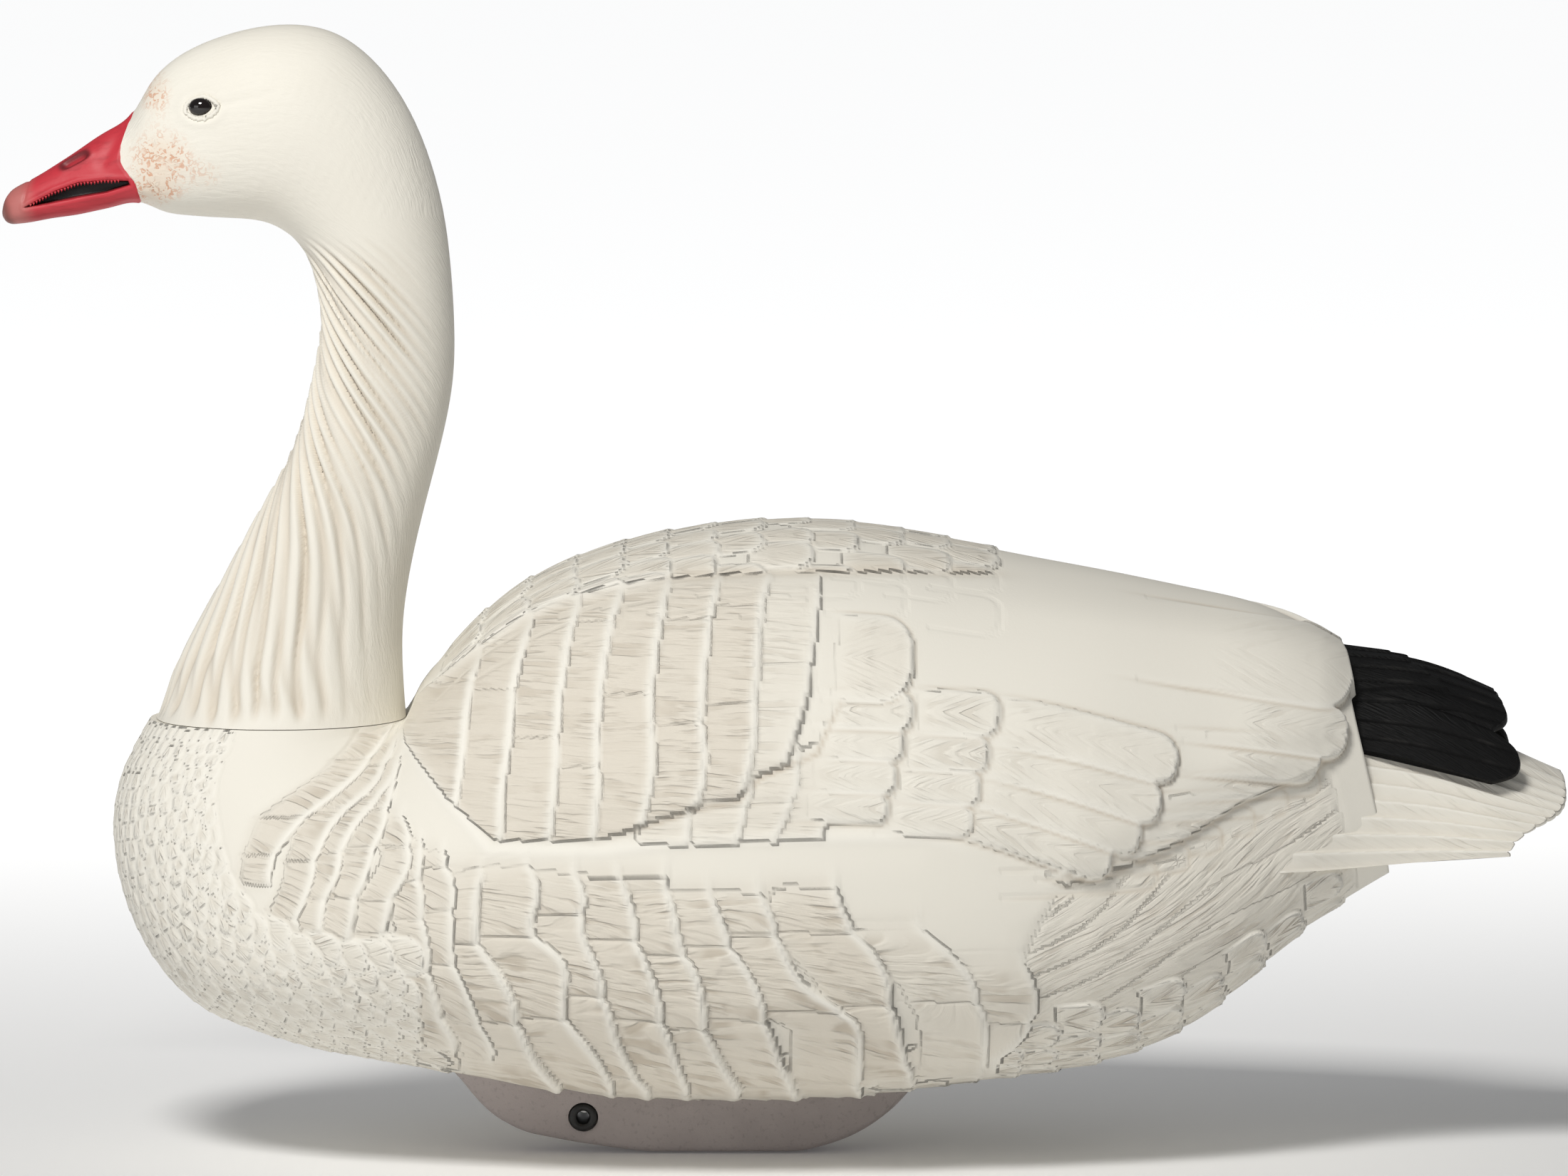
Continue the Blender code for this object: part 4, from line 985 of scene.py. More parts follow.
def head_finish(name, looks, bill):
    """The neck's and head's plumage, with painted shade in the neck's furrows and a rust stain of fine curls
    about the bill.
    """
    finish = Finish(name)
    where = finish.where
    vane = finish.attribute("vane", "Vector")
    hollow, fine, rust = (finish.attribute(name) for name in ("wash", "fine", "rust"))
    wander = finish.noise(where, 60.0, 2.0, output="Color")
    combed = finish.shifted(vane, wander, 5.0)
    hairs = finish.strands(combed, (1.1, 0.11, 1.0))
    grain = finish.noise(where, 800.0, 2.0)
    cloud = finish.noise(where, 30.0, 3.0)
    # hollow is the neck furrows' painted shade, which mixes the cream towards beige.
    tone = finish.mix(hollow * 0.8 + (cloud - 0.5) * 0.3, looks.cream, looks.beige)
    bent = finish.shifted(where, finish.noise(where, 260.0, 2.0, output="Color"), 0.006)
    curl = finish.noise(bent, 330.0, 1.0, 0.5) * 24.0
    line = curl.math("SINE", curl).rise(0.1, 0.85)
    gaps = finish.noise(where, 210.0, 2.0).rise(0.3, 0.55)
    tone = finish.mix(rust.rise(0.1, 0.9) * 0.55, tone, rgb(236, 212, 188))
    tone = finish.mix(line * gaps * rust.rise(0.12, 0.6) * 0.7, tone, bill.rust)
    tone = finish.mix(line * gaps * rust.rise(0.75, 1.0) * 0.6, tone, rgb(150, 92, 52))
    relief = hairs * fine * 0.5 + grain * 0.05 - line * rust * 0.1
    rough = 0.55 + 0.12 * cloud
    return finish.done(tone, rough, finish.bump(relief, looks.barb_depth), Specular_IOR_Level=0.35)


class DecoyNeckOperator(bpy.types.Operator):
    """Model the furrowed neck and the head up to the bill"""

    bl_idname = "object.decoy_neck"
    bl_label = "Neck and head"

    def execute(self, context):
        looks, bill = context.scene.decoy_plumage, context.scene.decoy_bill
        share = np.linspace(0, 1, int((KNOTS[BILL] - KNOTS[SEAM]) / HEAD_STEP))[:, None]
        angles = np.linspace(-math.pi, math.pi, HEAD_COLUMNS, endpoint=False)
        places = KNOTS[SEAM] + 0.35 + (bill_border(angles) - KNOTS[SEAM] - 0.35) * share
        angles = angles + 0 * share
        points = skin(places, angles)
        normals = grid_normals(points)
        z = points[..., 2]
        relief = furrows(points, angles, looks.furrow / MM)
        # Painted shade: the deeper a furrow, the more beige its paint.
        furrow_shade = np.clip(-relief / 1.6, 0, 1)
        relief = relief + face_relief(points) + chin(points, angles)
        pebbled = smooth(z, 338, 350) * (1 - smooth(z, 395, 410))
        relief += 0.1 * ripple(points[..., 0] / 1.6, z / 1.2, 21, 16) * pebbled
        points = points + normals * relief[..., None]
        points[0, :, 2] = SEAM_Z + 0.3
        front = math.pi - np.abs(angles)
        vane = np.stack([26.0 * front + curve_at(FURROW_DRIFT, z) * 26.0, places, 0 * places], axis=-1)
        rust = np.zeros(z.shape)
        seen_x, seen_z = side_layout(points)
        for x0, z0, wide, tall, strength in RUST:
            blob = strength * np.exp(-(((seen_x - x0) / wide) ** 2) - ((seen_z - z0) / tall) ** 2)
            rust = 1 - (1 - rust) * (1 - blob)
        nape = smooth(front, 1.8, 2.6)
        fine = 0.25 + 0.5 * nape * (1 - smooth(z, 370, 400)) + 0.15 * smooth(z, 340, 360)
        values = {"wash": furrow_shade, "rust": rust, "fine": fine, "vane": vane}
        edges = []
        for drop in (3.2, 0.0):
            ring = points[:1].copy()
            flat = ring[..., :2] - (NECK_X, 0)
            flat *= 1 - NECK_WALL / np.linalg.norm(flat, axis=-1, keepdims=True)
            ring[..., :2] = flat + (NECK_X, 0)
            ring[..., 2] = SEAM_Z + 0.3 + drop
            edges.append(ring)
        points = np.concatenate([*edges, points])
        for label, value in values.items():
            value = np.concatenate([np.repeat(value[:1], 2, axis=0), value])
            values[label] = value.reshape(-1, *value.shape[2:])
        faces = grid_faces(len(points), HEAD_COLUMNS, around=True)
        finish = head_finish("head_plumage", looks, bill)
        head = make_mesh("head_and_neck", points.reshape(-1, 3), faces, values, finish)
        head.data.set_sharp_from_angle(angle=math.radians(60))
        settle(head, "white_head", "head_neck", body="head")
        return {"FINISHED"}


# ---- bill ----

BILL_COLUMNS = 240
BILL_ROWS = 150
GAPE_TOP = [(-277.5, 345.8), (-266.5, 351.5), (-258.0, 354.6), (-247.6, 355.5), (-239.5, 355.4)]
GAPE = [*GAPE_TOP, (-238.8, 354.0), (-247.6, 351.3), (-258.0, 349.5), (-269.0, 347.2)]
NOSTRIL = (-259.2, 362.8)
NOSTRIL_SIZE = (5.6, 1.5)
NOSTRIL_TURN = math.radians(28)
TEETH_SPAN = (-275.5, -243.0)
TOOTH_SPACING = 0.00125  # in metres, as the geometry tree takes it


def bill_finish(name, bill):
    """The bill's worn red paint, with a pale nail, a dark gape and dark nostrils."""
    finish = Finish(name)
    where = finish.where
    x, _, z = finish.parts(where)
    gape, slot = finish.attribute("gape"), finish.attribute("slot")
    cloud = finish.noise(where, 90.0, 4.0)
    streak = finish.strands(where, (60.0, 500.0, 300.0))
    tone = finish.mix(cloud * 0.3, bill.red, rgb(220, 84, 92))
    tone = finish.mix(streak.rise(0.5, 0.7) * 0.35, tone, rgb(150, 30, 42))
    low = z.rise(0.3475, 0.3435)
    tone = finish.mix(low * 0.4, tone, rgb(150, 32, 44))
    nail = (x + (cloud - 0.5) * 0.004).rise(-0.2725, -0.2800)
    tone = finish.mix(nail * 0.85, tone, bill.nail)
    end = (x + (cloud - 0.5) * 0.003 + (z - 0.348) * 0.35).rise(-0.2815, -0.2855)
    tone = finish.mix(end * 0.75, tone, rgb(112, 62, 52))
    tone = finish.mix(slot * 0.8, tone, rgb(72, 18, 24))
    tone = finish.mix(gape, tone, bill.gape)
    relief = streak * 0.5 + cloud * 0.6
    return finish.done(tone, 0.42 + 0.2 * streak, finish.bump(relief, 0.0003))


def tooth_tree(finish):
    """(tree, its inputs' identifiers) that sets small cones along a curve, each pointing down from it."""
    tree = bpy.data.node_groups.new("bill_teeth", "GeometryNodeTree")
    sockets = {}
    for name, way, kind in (("Geometry", "INPUT", "Geometry"), ("Spacing", "INPUT", "Float"),
                            ("Length", "INPUT", "Float"), ("Geometry", "OUTPUT", "Geometry")):
        made = tree.interface.new_socket(name, in_out=way, socket_type="NodeSocket" + kind)
        sockets[name] = made.identifier
    start, end, curve, spread, cone, half, copies, real, paint = (tree.nodes.new(kind) for kind in (
        "NodeGroupInput", "NodeGroupOutput", "GeometryNodeMeshToCurve", "GeometryNodeCurveToPoints",
        "GeometryNodeMeshCone", "ShaderNodeMath", "GeometryNodeInstanceOnPoints",
        "GeometryNodeRealizeInstances", "GeometryNodeSetMaterial"))
    spread.mode = "LENGTH"
    cone.inputs["Vertices"].default_value = 8
    half.operation = "MULTIPLY"
    half.inputs[1].default_value = 0.42
    copies.inputs["Rotation"].default_value = (math.pi, 0.0, 0.0)
    paint.inputs["Material"].default_value = finish
    for source, output, target, socket in (
        (start, "Geometry", curve, "Mesh"), (curve, "Curve", spread, "Curve"),
        (start, "Spacing", spread, "Length"), (start, "Length", cone, "Depth"),
        (start, "Length", half, 0), (half, 0, cone, "Radius Bottom"),
        (spread, "Points", copies, "Points"), (cone, "Mesh", copies, "Instance"),
        (copies, "Instances", real, "Geometry"), (real, "Geometry", paint, "Geometry"),
        (paint, "Geometry", end, "Geometry"),
    ):
        tree.links.new(source.outputs[output], target.inputs[socket])
    return tree, sockets


def grown(name, tree, base, inputs):
    """The mesh that a geometry tree makes from a base object, as a plain object in place of it."""
    modifier = base.modifiers.new("grow", "NODES")
    modifier.node_group = tree
    for key, value in inputs.items():
        modifier[key] = value
    mesh = evaluated_mesh(base)
    bpy.data.objects.remove(base, do_unlink=True)
    mesh.shade_smooth()
    return add_object(name, mesh)


def line_object(name, lines):
    """Loose edges through each line's points, as a guide for a geometry tree."""
    points, edges = [], []
    for line in lines:
        edges += [(len(points) + step, len(points) + step + 1) for step in range(len(line) - 1)]
        points += [tuple(float(value) * MM for value in point) for point in line]
    mesh = bpy.data.meshes.new(name)
    mesh.from_pydata(points, edges, [])
    return add_object(name, mesh)


class SkinMap:
    """Looks up the head's skin at (x, height) of the side layout."""

    def __init__(self, first, last):
        places = np.linspace(KNOTS[first], KNOTS[last], 260)[:, None]
        angles = np.linspace(0.02, math.pi - 0.02, 160)[None, :]
        self.points = skin(places, angles)

    def at(self, x, z):
        across, height = side_layout(self.points)
        off = (across - x) ** 2 + (height - z) ** 2
        return self.points[np.unravel_index(off.argmin(), off.shape)]


class DecoyBillOperator(bpy.types.Operator):
    """Model the bill with its open gape, nostrils, nail and teeth"""

    bl_idname = "object.decoy_bill"
    bl_label = "Bill"

    def execute(self, context):
        bill = context.scene.decoy_bill
        share = np.linspace(0, 1, BILL_ROWS)[:, None] ** 0.94
        angles = np.linspace(-math.pi, math.pi, BILL_COLUMNS, endpoint=False) + 0 * share
        start = bill_border(angles) - 0.8
        places = start + (KNOTS[-1] - start) * share
        points = skin(places, angles)
        normals = grid_normals(points)
        x, z = side_layout(points)
        sideways = smooth(np.abs(normals[..., 1]), 0.2, 0.5)
        gape = inside_outline(x, z, GAPE)
        opened = smooth(gape, -0.25, 0.45) * sideways
        along, across = turned(x - NOSTRIL[0], z - NOSTRIL[1], NOSTRIL_TURN)
        slot = (np.abs(along / NOSTRIL_SIZE[0]) ** 4 + np.abs(across / NOSTRIL_SIZE[1]) ** 2.5) ** 0.4
        hole = (1 - smooth(slot, 0.45, 1.0)) * sideways
        rim = bell(slot - 1.3, 0.4) * sideways
        dark = bell(slot - 0.95, 0.4) * sideways
        relief = 0.45 * smooth(places - start, 0.0, 1.2) * (1 - smooth(x, -282, -286))
        relief += 0.35 * rim - 1.0 * hole + chin(points, angles)
        hollow = near_line(x, z, (-249.0, 362.0), (-241.5, 375.0))[0]
        relief += -0.8 * bell(hollow, 2.6) * sideways
        relief += 0.35 * bell(gape + 1.2, 0.8) * sideways
        relief += -0.35 * bell(x + 277.5 - 0.2 * (z - 350), 0.6) * smooth(z, 345, 349)
        points = points + normals * relief[..., None]
        points[..., 1] -= np.sign(points[..., 1]) * np.minimum(4.2 * opened, np.abs(points[..., 1]) * 0.8)
        values = {"gape": opened.ravel(), "slot": np.clip(dark + 0.3 * hole, 0, 1).ravel()}
        flat = points.reshape(-1, 3)
        faces = grid_faces(BILL_ROWS, BILL_COLUMNS, around=True).tolist()
        faces.append(list(range(len(flat) - BILL_COLUMNS, len(flat))))
        finish = bill_finish("bill_paint", bill)
        settle(turn_out(make_mesh("bill", flat, faces, values, finish)), "bill_red", body="head")
        self.teeth(finish, bill)
        return {"FINISHED"}

    def teeth(self, finish, bill):
        """Sets small teeth along the gape's upper edge, on both sides."""
        chart = SkinMap(BILL - 1, len(BIRD) - 1)
        lines = []
        for side, _ in SIDES:
            line = []
            for x in np.linspace(*TEETH_SPAN, 30):
                spot = chart.at(x, float(np.interp(x, *np.array(GAPE_TOP).T)) + 0.25)
                line.append((spot[0], side * (spot[1] + 0.1), spot[2]))
            lines.append(line)
        tree, names = tooth_tree(finish)
        base = line_object("tooth_guide", lines)
        inputs = {names["Spacing"]: TOOTH_SPACING, names["Length"]: bill.tooth}
        teeth = grown("bill_teeth", tree, base, inputs)
        settle(teeth, "bill_red", body="head")


# ---- eyes ----


class DecoyEyesOperator(bpy.types.Operator):
    """Model the glossy eyes and the lids round them"""

    bl_idname = "object.decoy_eyes"
    bl_label = "Eyes"

    def execute(self, context):
        looks = context.scene.decoy_plumage
        finish = Finish("eye_gloss")
        tone = finish.mix(finish.noise(finish.where, 300.0), rgb(8, 5, 5), rgb(26, 14, 11))
        eye_paint = finish.done(tone, 0.07, Coat_Weight=0.6)
        chart = SkinMap(SEAM + 8, BILL)
        lid_paint = plumage_finish("eyelid_paint", looks)
        centre = chart.at(*EYE)
        for side, word in SIDES:
            middle = side * (centre[1] - EYE_SET)
            polar = np.linspace(0, math.pi, EYE_ROWS)[:, None]
            turn = np.linspace(0, 2 * math.pi, EYE_COLUMNS, endpoint=False)[None, :]
            points = np.stack([
                centre[0] + EYE_SIZE[0] * np.sin(polar) * np.cos(turn),
                middle + side * EYE_DOME * np.cos(polar) + 0 * turn,
                centre[2] + EYE_SIZE[1] * np.sin(polar) * np.sin(turn),
            ], axis=-1)
            faces = grid_faces(EYE_ROWS, EYE_COLUMNS, around=True)
            eye = make_mesh("eyeball_" + word, points.reshape(-1, 3), faces, finish=eye_paint)
            settle(turn_out(eye), "eye_dark", "eye_" + word, body="head")
            lid = self.lid(chart, side)
            values = {"fine": np.full(len(lid), 0.1)}
            faces = grid_faces(LID_STEPS, LID_SIDES, around=True, closed=True)
            shape = make_mesh("eyelid_" + word, lid, faces, values, lid_paint)
            settle(turn_out(shape), "white_head", body="head")
        return {"FINISHED"}

    def lid(self, chart, side):
        """A soft ring round the almond of the eye, lying on the skin."""
        points = []
        for step in range(LID_STEPS):
            turn = 2 * math.pi * step / LID_STEPS
            corner = 1 + 0.16 * abs(math.cos(turn)) ** 5
            x, z = math.cos(turn), math.sin(turn)
            middle = chart.at(EYE[0] + 5.2 * corner * x, EYE[1] + 4.1 * z + 0.25 * x) * (1, side, 1)
            for number in range(LID_SIDES):
                angle = 2 * math.pi * number / LID_SIDES
                out = 0.9 * math.cos(angle)
                points.append(middle + (x * out, side * (0.75 * math.sin(angle) + 0.2), z * out))
        return np.array(points)


# ---- tail and wing tips ----

# Arches over the x axis: x, height of the top, half width.
TAIL = [
    (172.0, 176.0, 66.0), (182.0, 175.5, 63.5), (193.0, 174.5, 59.0), (204.0, 173.5, 54.0),
    (218.0, 170.5, 49.5), (235.0, 165.0, 46.2), (262.0, 151.0, 44.0), (287.0, 139.5, 39.0),
]
WINGTIP = [(196.0, 187.0, 49.2), (200.0, 186.2, 49.0), (235.0, 180.5, 48.0), (270.0, 166.0, 45.0)]
FOOT = 110.0  # height of the arches' feet at the front
TAIL_FRONT, TAIL_THICK, TAIL_COLUMNS = 174.0, 4.6, 561
TAIL_BANDS = 280.0  # where the bands are read for the tail's end
WINGTIP_FRONT, WINGTIP_THICK, WINGTIP_COLUMNS = 198.0, 3.2, 260
SHELL_ROWS, EDGE_ROWS, UNDER_ROWS = 110, 4, 14
WINGTIP_ENDS = [  # degrees from the top, x of the rear edge
    (1.0, 257.0), (6.0, 260.5), (14.0, 263.0), (24.0, 264.5), (31.0, 263.5), (35.5, 260.5), (39.0, 259.5),
    (42.0, 264.0), (47.0, 268.0), (53.0, 268.2), (58.0, 265.0), (62.0, 258.0),
]


def arch(table, x, angle, lift=0.0):
    """A point of an arch over the x axis, at an angle from its top."""
    table = np.array(table)
    x, angle, lift = np.broadcast_arrays(x, angle, lift)
    found = natural_spline(table[:, 0], table[:, 1:], x.ravel())
    top, half = found[:, 0].reshape(x.shape), found[:, 1].reshape(x.shape)
    across = (half + lift) * np.sin(angle)
    foot = FOOT + 3.5 * smooth(x, 190, 275)
    up = foot + (top - foot + lift) * np.cos(angle)
    return np.stack([x, across, up], axis=-1)


def arch_shell(name, table, angles, first, ends, thick, relief, values, finish, rising=0.0):
    """A closed curved plate over an arch: relief on top, a rounded rear edge, and a plain underside."""
    share = np.linspace(0, 1, SHELL_ROWS)[:, None]
    x = first + (ends - first) * share
    lift, painted = relief(x, angles + 0 * share), values(x, angles + 0 * share)

    def warped(x):
        share = (np.abs(angles) / np.abs(angles).max()) ** 4
        return angles * (1 - rising * share * (1 - smooth(x, 205, 262)))

    top = arch(table, x, warped(x), lift)
    turn = np.linspace(0.25, 0.75, EDGE_ROWS)[:, None]
    rear = ends + 0.5 * np.sin(math.pi * turn)
    edge = arch(table, rear, warped(ends), lift[-1:] * (1 - turn) - thick * turn)
    back = np.linspace(1, 0, UNDER_ROWS)[:, None]
    inside = first + (ends - first) * back
    inner = arch(table, inside, warped(inside), -thick)
    loop = np.concatenate([top, edge, inner])
    count, wide = loop.shape[:2]
    for key, value in painted.items():
        value = np.concatenate([value, np.repeat(value[-1:] * 0, count - SHELL_ROWS, axis=0)])
        painted[key] = value.reshape(count * wide, *value.shape[2:])
    faces = grid_faces(count, wide, closed=True).tolist()
    for side in (0, wide - 1):
        faces.append([row * wide + side for row in range(count)])
    thing = make_mesh(name, loop.reshape(-1, 3), faces, painted, finish)
    thing.data.set_sharp_from_angle(angle=math.radians(55))
    return turn_out(thing)


class DecoyTailOperator(bpy.types.Operator):
    """Model the tail's fan of overlapping feathers"""

    bl_idname = "object.decoy_tail"
    bl_label = "Tail"

    def bands(self, x, angles):
        """(number of each tail feather from the top, share of the way down it)."""
        drop = 46.0 * (1 - np.cos(angles)) + 3.0 * np.abs(np.sin(angles))
        count = drop / 4.7 + 0.006 * (287 - x) * smooth(np.abs(angles), 0.2, 1.2)
        return np.floor(count), count - np.floor(count)

    def relief(self, x, angles):
        _, share = self.bands(x, angles)
        step = 0.9 * smooth(x, 178, 195)
        return step * (0.15 - share + smooth(share, 0.82, 1.0)) + 0.15 * np.cos(2 * math.pi * share)

    def values(self, x, angles):
        number, share = self.bands(x, angles)
        vane = np.stack([share * 5 - 0.4 * x, x, number * FEATHER_STEP], axis=-1)
        return {"wash": 0.25 * smooth(share, 0.2, 0.9), "edge": 1 - smooth(share, 0.0, 0.2), "vane": vane,
                "fine": 0.2 * smooth(share, 0.02, 0.15) * (1 - smooth(share, 0.85, 0.97))}

    def execute(self, context):
        looks = context.scene.decoy_plumage
        angles = np.radians(np.linspace(-90, 90, TAIL_COLUMNS))[None, :]
        _, share = self.bands(np.full(angles.shape, TAIL_BANDS), angles)
        low = np.abs(np.sin(angles))
        ends = 286.6 - 19.0 * low**11 - 3.0 * low**4 - 1.5 * (2 * share - 1) ** 4
        finish = plumage_finish("tail_plumage", looks)
        plate = (angles, TAIL_FRONT, ends, TAIL_THICK)
        tail = arch_shell("tail_feathers", TAIL, *plate, self.relief, self.values, finish)
        settle(tail, "white_body", "tail_fan")
        return {"FINISHED"}


def quill_finish(name):
    """Black quill paint, worn grey along some edges."""
    finish = Finish(name)
    vane = finish.attribute("vane", "Vector")
    edge = finish.attribute("edge")
    barbs = finish.strands(vane, (2.2, 0.12, 1.0), 2.0)
    cloud = finish.noise(finish.where, 60.0)
    tone = finish.mix(cloud, rgb(4, 4, 4), rgb(10, 10, 10))
    tone = finish.mix(edge * cloud.rise(0.45, 0.7) * 0.5, tone, rgb(52, 50, 48))
    return finish.done(tone, 0.5 + 0.15 * cloud, finish.bump(barbs, 0.0005), Specular_IOR_Level=0.22)


class DecoyWingtipsOperator(bpy.types.Operator):
    """Model the folded black wing tips over the tail"""

    bl_idname = "object.decoy_wingtips"
    bl_label = "Wing tips"

    def edges(self, x, angles):
        """(feather number, share of the way down it), with feathers that run out towards the tips."""
        turn = np.degrees(np.abs(angles))
        count = turn / 8.2 + (x - 200) * 0.011 * (1 - smooth(turn, 34, 44)) + 0.25
        return np.floor(count), count - np.floor(count)

    def relief(self, x, angles):
        _, share = self.edges(x, angles)
        turn = np.degrees(np.abs(angles))
        short = 1 - smooth(x - 0.9 * (turn - 18), 236.0, 237.2)
        upper = 1 - smooth(turn, 27.0 - 0.25 * (x - 236), 28.2 - 0.25 * (x - 236))
        gap = bell(turn - 38.5 + 0.12 * (262 - x), 1.1) * smooth(x, 205, 240)
        return 0.75 * (share - 0.5 - smooth(share, 0.9, 1.0)) + 1.3 * short * upper - 1.0 * gap

    def values(self, x, angles):
        number, share = self.edges(x, angles)
        vane = np.stack([share * 7 - 0.35 * x, x, number * FEATHER_STEP], axis=-1)
        return {"vane": vane, "edge": bell(share - 0.88, 0.07)}

    def execute(self, context):
        finish = quill_finish("quill_black")
        for side, word in SIDES:
            turn = np.linspace(WINGTIP_ENDS[0][0], WINGTIP_ENDS[-1][0], WINGTIP_COLUMNS)
            ends = curve_at(WINGTIP_ENDS, turn)[None, :]
            angles = side * np.radians(turn)[None, :]
            plate = (angles, WINGTIP_FRONT, ends, WINGTIP_THICK)
            shell = arch_shell("wing_tip_" + word, WINGTIP, *plate, self.relief, self.values, finish, 0.1)
            settle(shell, "wing_black", "primaries_" + word)
        return {"FINISHED"}


# ---- keel ----

KEEL_EDGE = [
    (-123.0, 31.0), (-117.0, 23.0), (-108.0, 13.5), (-96.0, 7.2), (-77.0, 3.6), (-60.0, 1.1), (-50.0, 0.0),
    (6.0, 0.0), (18.0, 3.0), (28.0, 7.0), (38.0, 13.5), (45.0, 20.0), (49.5, 26.0),
]
KEEL_HALF = 17.0
KEEL_SLOPE = 4.0
KEEL_ROUND = 3.5
KEEL_NOSE = 8.0  # length of the rounded part at each end
LINE_PLACE = (-73.9, 0.0, 13.4)
LINE_HOLE = 5.5
BUSH_RADIUS, BUSH_BORE = 5.2, 2.4


def belly(x, y):
    """Height of the body's underside at (x, y)."""
    places = np.linspace(KNOTS[1], KNOTS[12], 200)
    rows = natural_spline(KNOTS, BIRD, places)
    up = rows[:, 0:2] - rows[:, 2:4]
    height = np.linalg.norm(up, axis=1)
    up = up / height[:, None]
    drop = (1 - (abs(y) / rows[:, 4]) ** rows[:, 7]) ** (1 / rows[:, 7])
    spots = rows[:, 2:4] + up * (height * rows[:, 5] * (1 - drop))[:, None]
    return float(np.interp(x, spots[::-1, 0], spots[::-1, 1]))


def keel_finish(name, keel):
    """The keel's cast grain with darker specks."""
    finish = Finish(name)
    where = finish.where
    grain = finish.noise(where, 1400.0, 3.0, 0.7)
    specks = finish.noise(where, 620.0, 2.0)
    cloud = finish.noise(where, 28.0, 4.0)
    tone = finish.mix(cloud.rise(0.3, 0.7) * 0.5, keel.grey, rgb(168, 158, 156))
    tone = finish.mix(specks.rise(0.55, 0.72) * 0.3, tone, rgb(140, 130, 128))
    relief = grain + specks * 0.6
    return finish.done(tone, 0.72 + 0.1 * cloud, finish.bump(relief, keel.grain))


class DecoyKeelOperator(bpy.types.Operator):
    """Model the cast keel and the bush through which the anchor line runs"""

    bl_idname = "object.decoy_keel"
    bl_label = "Keel"

    def execute(self, context):
        keel = context.scene.decoy_keel
        first, last = KEEL_EDGE[0][0], KEEL_EDGE[-1][0]
        edge = np.array(KEEL_EDGE)
        bend = KEEL_NOSE * (1 - np.cos(np.linspace(0, math.pi / 2, 14)))[:-1] + 0.3
        straight = np.linspace(first + KEEL_NOSE + 0.3, last - KEEL_NOSE - 0.3, 150)
        stations = np.concatenate([first + bend, straight, (last - bend)[::-1]])
        shifts = (-4, -2, 0, 2, 4)
        soft = np.mean([np.interp(stations + shift, edge[:, 0], edge[:, 1]) for shift in shifts], axis=0)
        rings = []
        for x, low in zip(stations, soft):
            share = (2 * x - first - last) / (last - first)
            narrow = math.sqrt(1 - abs(share) ** 5)
            top = max(KEEL_HALF * narrow, 1.2)
            foot = min(max((KEEL_HALF - KEEL_SLOPE) * narrow, 1.2), top)
            high = belly(x, top) + 1.0
            low = max(min(low, high - 2.5), 0.05)
            round_off = min(KEEL_ROUND, 0.6 * foot, 0.4 * (high - low))
            side = [(top, high)]
            for rise in (0.75, 0.5, 0.25):
                side.append((foot + (top - foot) * rise, low + round_off + (high - low - round_off) * rise))
            for turn in np.linspace(0, math.pi / 2, 7):
                side.append((foot - round_off * (1 - math.cos(turn)), low + round_off * (1 - math.sin(turn))))
            rings.append([(x, y, z) for y, z in side] + [(x, -y, z) for y, z in reversed(side)])
        wide = len(rings[0])
        points = np.array(rings).reshape(-1, 3)
        faces = grid_faces(len(rings), wide, around=True).tolist()
        faces += [list(range(wide)), [(len(rings) - 1) * wide + side for side in range(wide)]]
        block = turn_out(make_mesh("keel", points, faces, finish=keel_finish("keel_cast", keel)))
        wide = KEEL_HALF + 5
        rod = [(0.001, -wide), (LINE_HOLE, -wide), (LINE_HOLE, wide), (0.001, wide)]
        drill = lathe("drill", rod, LINE_PLACE, "Y", 64)
        block.modifiers.new("line_hole", "BOOLEAN").object = drill
        block.data = evaluated_mesh(block)
        block.modifiers.clear()
        bpy.data.objects.remove(drill, do_unlink=True)
        block.data.shade_smooth()
        block.data.set_sharp_from_angle(angle=math.radians(45))
        settle(block, "keel_grey", "keel_shell")
        self.bush()
        return {"FINISHED"}

    def bush(self):
        """Turns the bush through which the anchor line runs."""
        finish = Finish("bush_black")
        cloud = finish.noise(finish.where, 400.0)
        tone = finish.mix(cloud, rgb(10, 10, 10), rgb(22, 21, 21))
        paint = finish.done(tone, 0.28 + 0.15 * cloud)
        low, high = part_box("line_bush")
        half = (high.y - low.y) / 2 / MM + 0.2
        middle, wall = (BUSH_RADIUS + BUSH_BORE) / 2, (BUSH_RADIUS - BUSH_BORE) / 2
        turn = np.linspace(0, math.pi, 9)
        rim = [(middle + wall * math.cos(t), half - 0.6 + 0.7 * math.sin(t)) for t in turn]
        profile = rim + [(r, -h) for r, h in reversed(rim)]
        bush = lathe("anchor_line_bush", profile, LINE_PLACE, "Y", 72, paint)
        settle(bush, "line_black", "line_bush")


# ---- fittings ----


def moulded(name, dark, light, rough, grain, depth, **constants):
    """A plain moulded or cast finish with a little variation and grain."""
    finish = Finish(name)
    where = finish.where
    cloud = finish.noise(where, 40.0, 4.0)
    fine = finish.noise(where, grain, 3.0)
    tone = finish.mix(cloud, dark, light)
    return finish.done(tone, rough + 0.15 * fine, finish.bump(fine, depth), **constants)


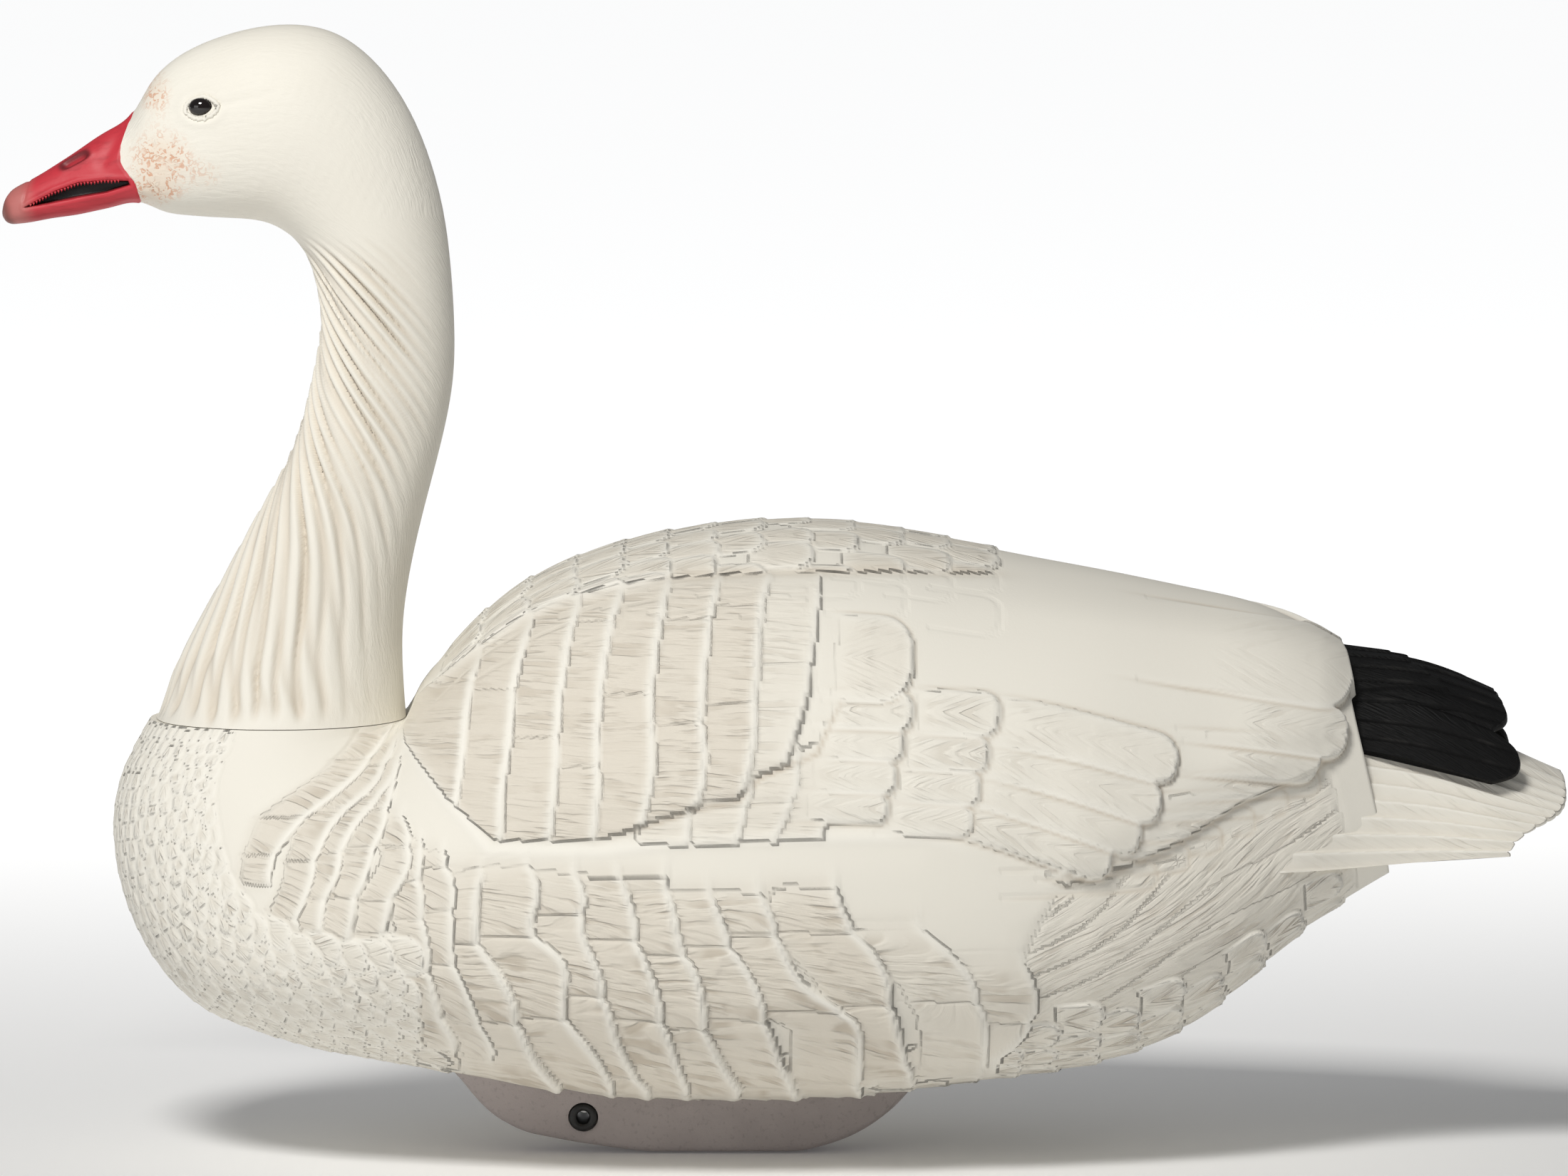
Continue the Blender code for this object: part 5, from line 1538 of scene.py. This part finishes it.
class DecoyFittingsOperator(bpy.types.Operator):
    """Turn the neck's socket, spigot and ring, and give the fittings their finishes"""

    bl_idname = "object.decoy_fittings"
    bl_label = "Fittings"

    def execute(self, context):
        liner = moulded("liner_plastic", rgb(196, 190, 176), rgb(212, 207, 194), 0.42, 500.0, 0.0001)
        rubber = moulded("black_rubber", rgb(20, 20, 20), rgb(34, 34, 34), 0.65, 700.0, 0.0001)
        metal = {"grain": 900.0, "depth": 0.00005, "Metallic": 1.0}
        steel = moulded("brushed_steel", rgb(150, 150, 148), rgb(190, 190, 188), 0.25, **metal)
        brass = moulded("turned_brass", rgb(176, 138, 70), rgb(205, 168, 96), 0.28, **metal)
        lead = moulded("cast_ballast", rgb(92, 90, 88), rgb(122, 120, 118), 0.7, 300.0, 0.0003)
        paints = {
            "ballast": lead, "keel_gasket": rubber, "keel_screw": steel, "keel_washer": steel,
            "keel_insert": brass, "vent_plug": rubber,
        }
        for name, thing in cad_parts.items():
            for start, paint in paints.items():
                if name.startswith(start):
                    thing.data.materials.clear()
                    thing.data.materials.append(paint)
        centre = (NECK_X, 0.0, SEAM_Z)
        cup = [(0.001, -48), (37, -48), (37.7, -47.3), (37.7, -2.6), (41.6, -2.6), (42, -2.2), (42, -0.3),
               (41.7, 0), (33.6, 0), (33.2, -0.4), (33.2, -44.5), (32.7, -45), (0.001, -45)]
        settle(lathe("neck_socket", cup, centre, finish=liner), "liner", "socket_cup")
        spigot = [(29.9, -42), (32.2, -42), (32.6, -41.6), (32.6, -24.1), (31.2, -24.1), (31.2, -19.9),
                  (32.6, -19.9), (32.6, 0.3), (41.0, 0.3), (41.0, 2.9), (29.6, 2.9), (29.6, -41.7)]
        settle(lathe("spigot", spigot, centre, finish=liner), "liner", "neck_spigot", body="head")
        turns = np.linspace(0, 2 * math.pi, 17)[:-1]
        ring = [(32.2 + 0.7 * math.cos(t), -22 + 1.8 * math.sin(t)) for t in turns]
        settle(lathe("neck_ring", ring, centre, finish=rubber), "black_rubber", "seal_ring", body="seal")
        return {"FINISHED"}


# ---- stage ----


FLOOR_HALF = 30000.0


def soft_light(name, place, aim, size, power, colour=(1.0, 1.0, 1.0)):
    """A rectangular lamp at place that faces aim."""
    lamp = bpy.data.lights.new(name, "AREA")
    lamp.shape = "RECTANGLE"
    lamp.size, lamp.size_y = size
    lamp.energy = power
    lamp.color = colour
    thing = add_object(name, lamp)
    thing.location = place
    thing.rotation_euler = (Vector(aim) - Vector(place)).to_track_quat("-Z", "Y").to_euler()


class DecoyStageOperator(bpy.types.Operator):
    """Set the plain floor, the soft studio light and the camera"""

    bl_idname = "object.decoy_stage"
    bl_label = "Stage"

    def execute(self, context):
        stage = context.scene.decoy_stage
        scene = context.scene
        points = [(x * FLOOR_HALF, y * FLOOR_HALF, -0.6) for x, y in ((-1, -1), (1, -1), (1, 1), (-1, 1))]
        finish = Finish("floor_paper")
        _, y, _ = finish.parts(finish.where)
        tone = finish.mix(finish.noise(finish.where, 3.0), rgb(250, 250, 250), rgb(252, 252, 252))
        glow = finish.mix(y.rise(-0.25, 1.5), (0.0, 0.0, 0.0), (1.0, 1.0, 1.0))
        finish.feed(finish.shader.inputs["Emission Color"], glow)
        paper = finish.done(tone, 0.9, Emission_Strength=stage.glow)
        make_mesh("floor", points, [(0, 1, 2, 3)], finish=paper)
        warm = (1.0, 0.985, 0.955)
        soft_light("key_light", (-0.7, -1.9, 2.3), (-0.02, 0.0, 0.15), (0.7, 0.7), stage.key, warm)
        soft_light("front_fill", (-1.8, -2.0, 0.7), (0.0, 0.0, 0.15), (1.4, 1.0), 0.1 * stage.key)
        world = bpy.data.worlds.new("studio")
        world.use_nodes = True
        backdrop = world.node_tree.nodes["Background"]
        backdrop.inputs["Color"].default_value = (0.96, 0.98, 1.0, 1.0)
        backdrop.inputs["Strength"].default_value = stage.sky
        scene.world = world
        camera = bpy.data.cameras.new("camera")
        camera.sensor_width = 36.0
        camera.lens = 36.0 * stage.distance / stage.width
        thing = add_object("camera", camera)
        back, up = math.cos(stage.lift) * stage.distance, math.sin(stage.lift) * stage.distance
        thing.location = (0.0, -back, stage.middle / math.cos(stage.lift) + up)
        thing.rotation_euler = (math.pi / 2 - stage.lift, 0.0, 0.0)
        camera.clip_end = 100.0
        scene.camera = thing
        scene.view_settings.view_transform = "Standard"
        return {"FINISHED"}


# ---- add-on ----

SETTINGS = {
    "decoy_plumage": DecoyPlumage,
    "decoy_bill": DecoyBill,
    "decoy_keel": DecoyKeel,
    "decoy_stage": DecoyStage,
}
OPERATORS = [
    DecoyBodyOperator,
    DecoyNeckOperator,
    DecoyBillOperator,
    DecoyEyesOperator,
    DecoyTailOperator,
    DecoyWingtipsOperator,
    DecoyKeelOperator,
    DecoyFittingsOperator,
    DecoyStageOperator,
]


class DecoyPanel(bpy.types.Panel):
    """The decoy's pieces, in the order in which they are made"""

    bl_idname = "VIEW3D_PT_decoy"
    bl_label = "Floating decoy"
    bl_space_type = "VIEW_3D"
    bl_region_type = "UI"
    bl_category = "Decoy"

    def draw(self, context):
        for operator in OPERATORS:
            self.layout.operator(operator.bl_idname)


def register():
    for kind in (*SETTINGS.values(), *OPERATORS, DecoyPanel):
        bpy.utils.register_class(kind)
    for name, kind in SETTINGS.items():
        setattr(bpy.types.Scene, name, bpy.props.PointerProperty(type=kind))


def unregister():
    for name in SETTINGS:
        delattr(bpy.types.Scene, name)
    for kind in reversed((*SETTINGS.values(), *OPERATORS, DecoyPanel)):
        bpy.utils.unregister_class(kind)


def main():
    register()
    for operator in OPERATORS:
        group, action = operator.bl_idname.split(".")
        getattr(getattr(bpy.ops, group), action)()


if __name__ == "__main__":
    main()
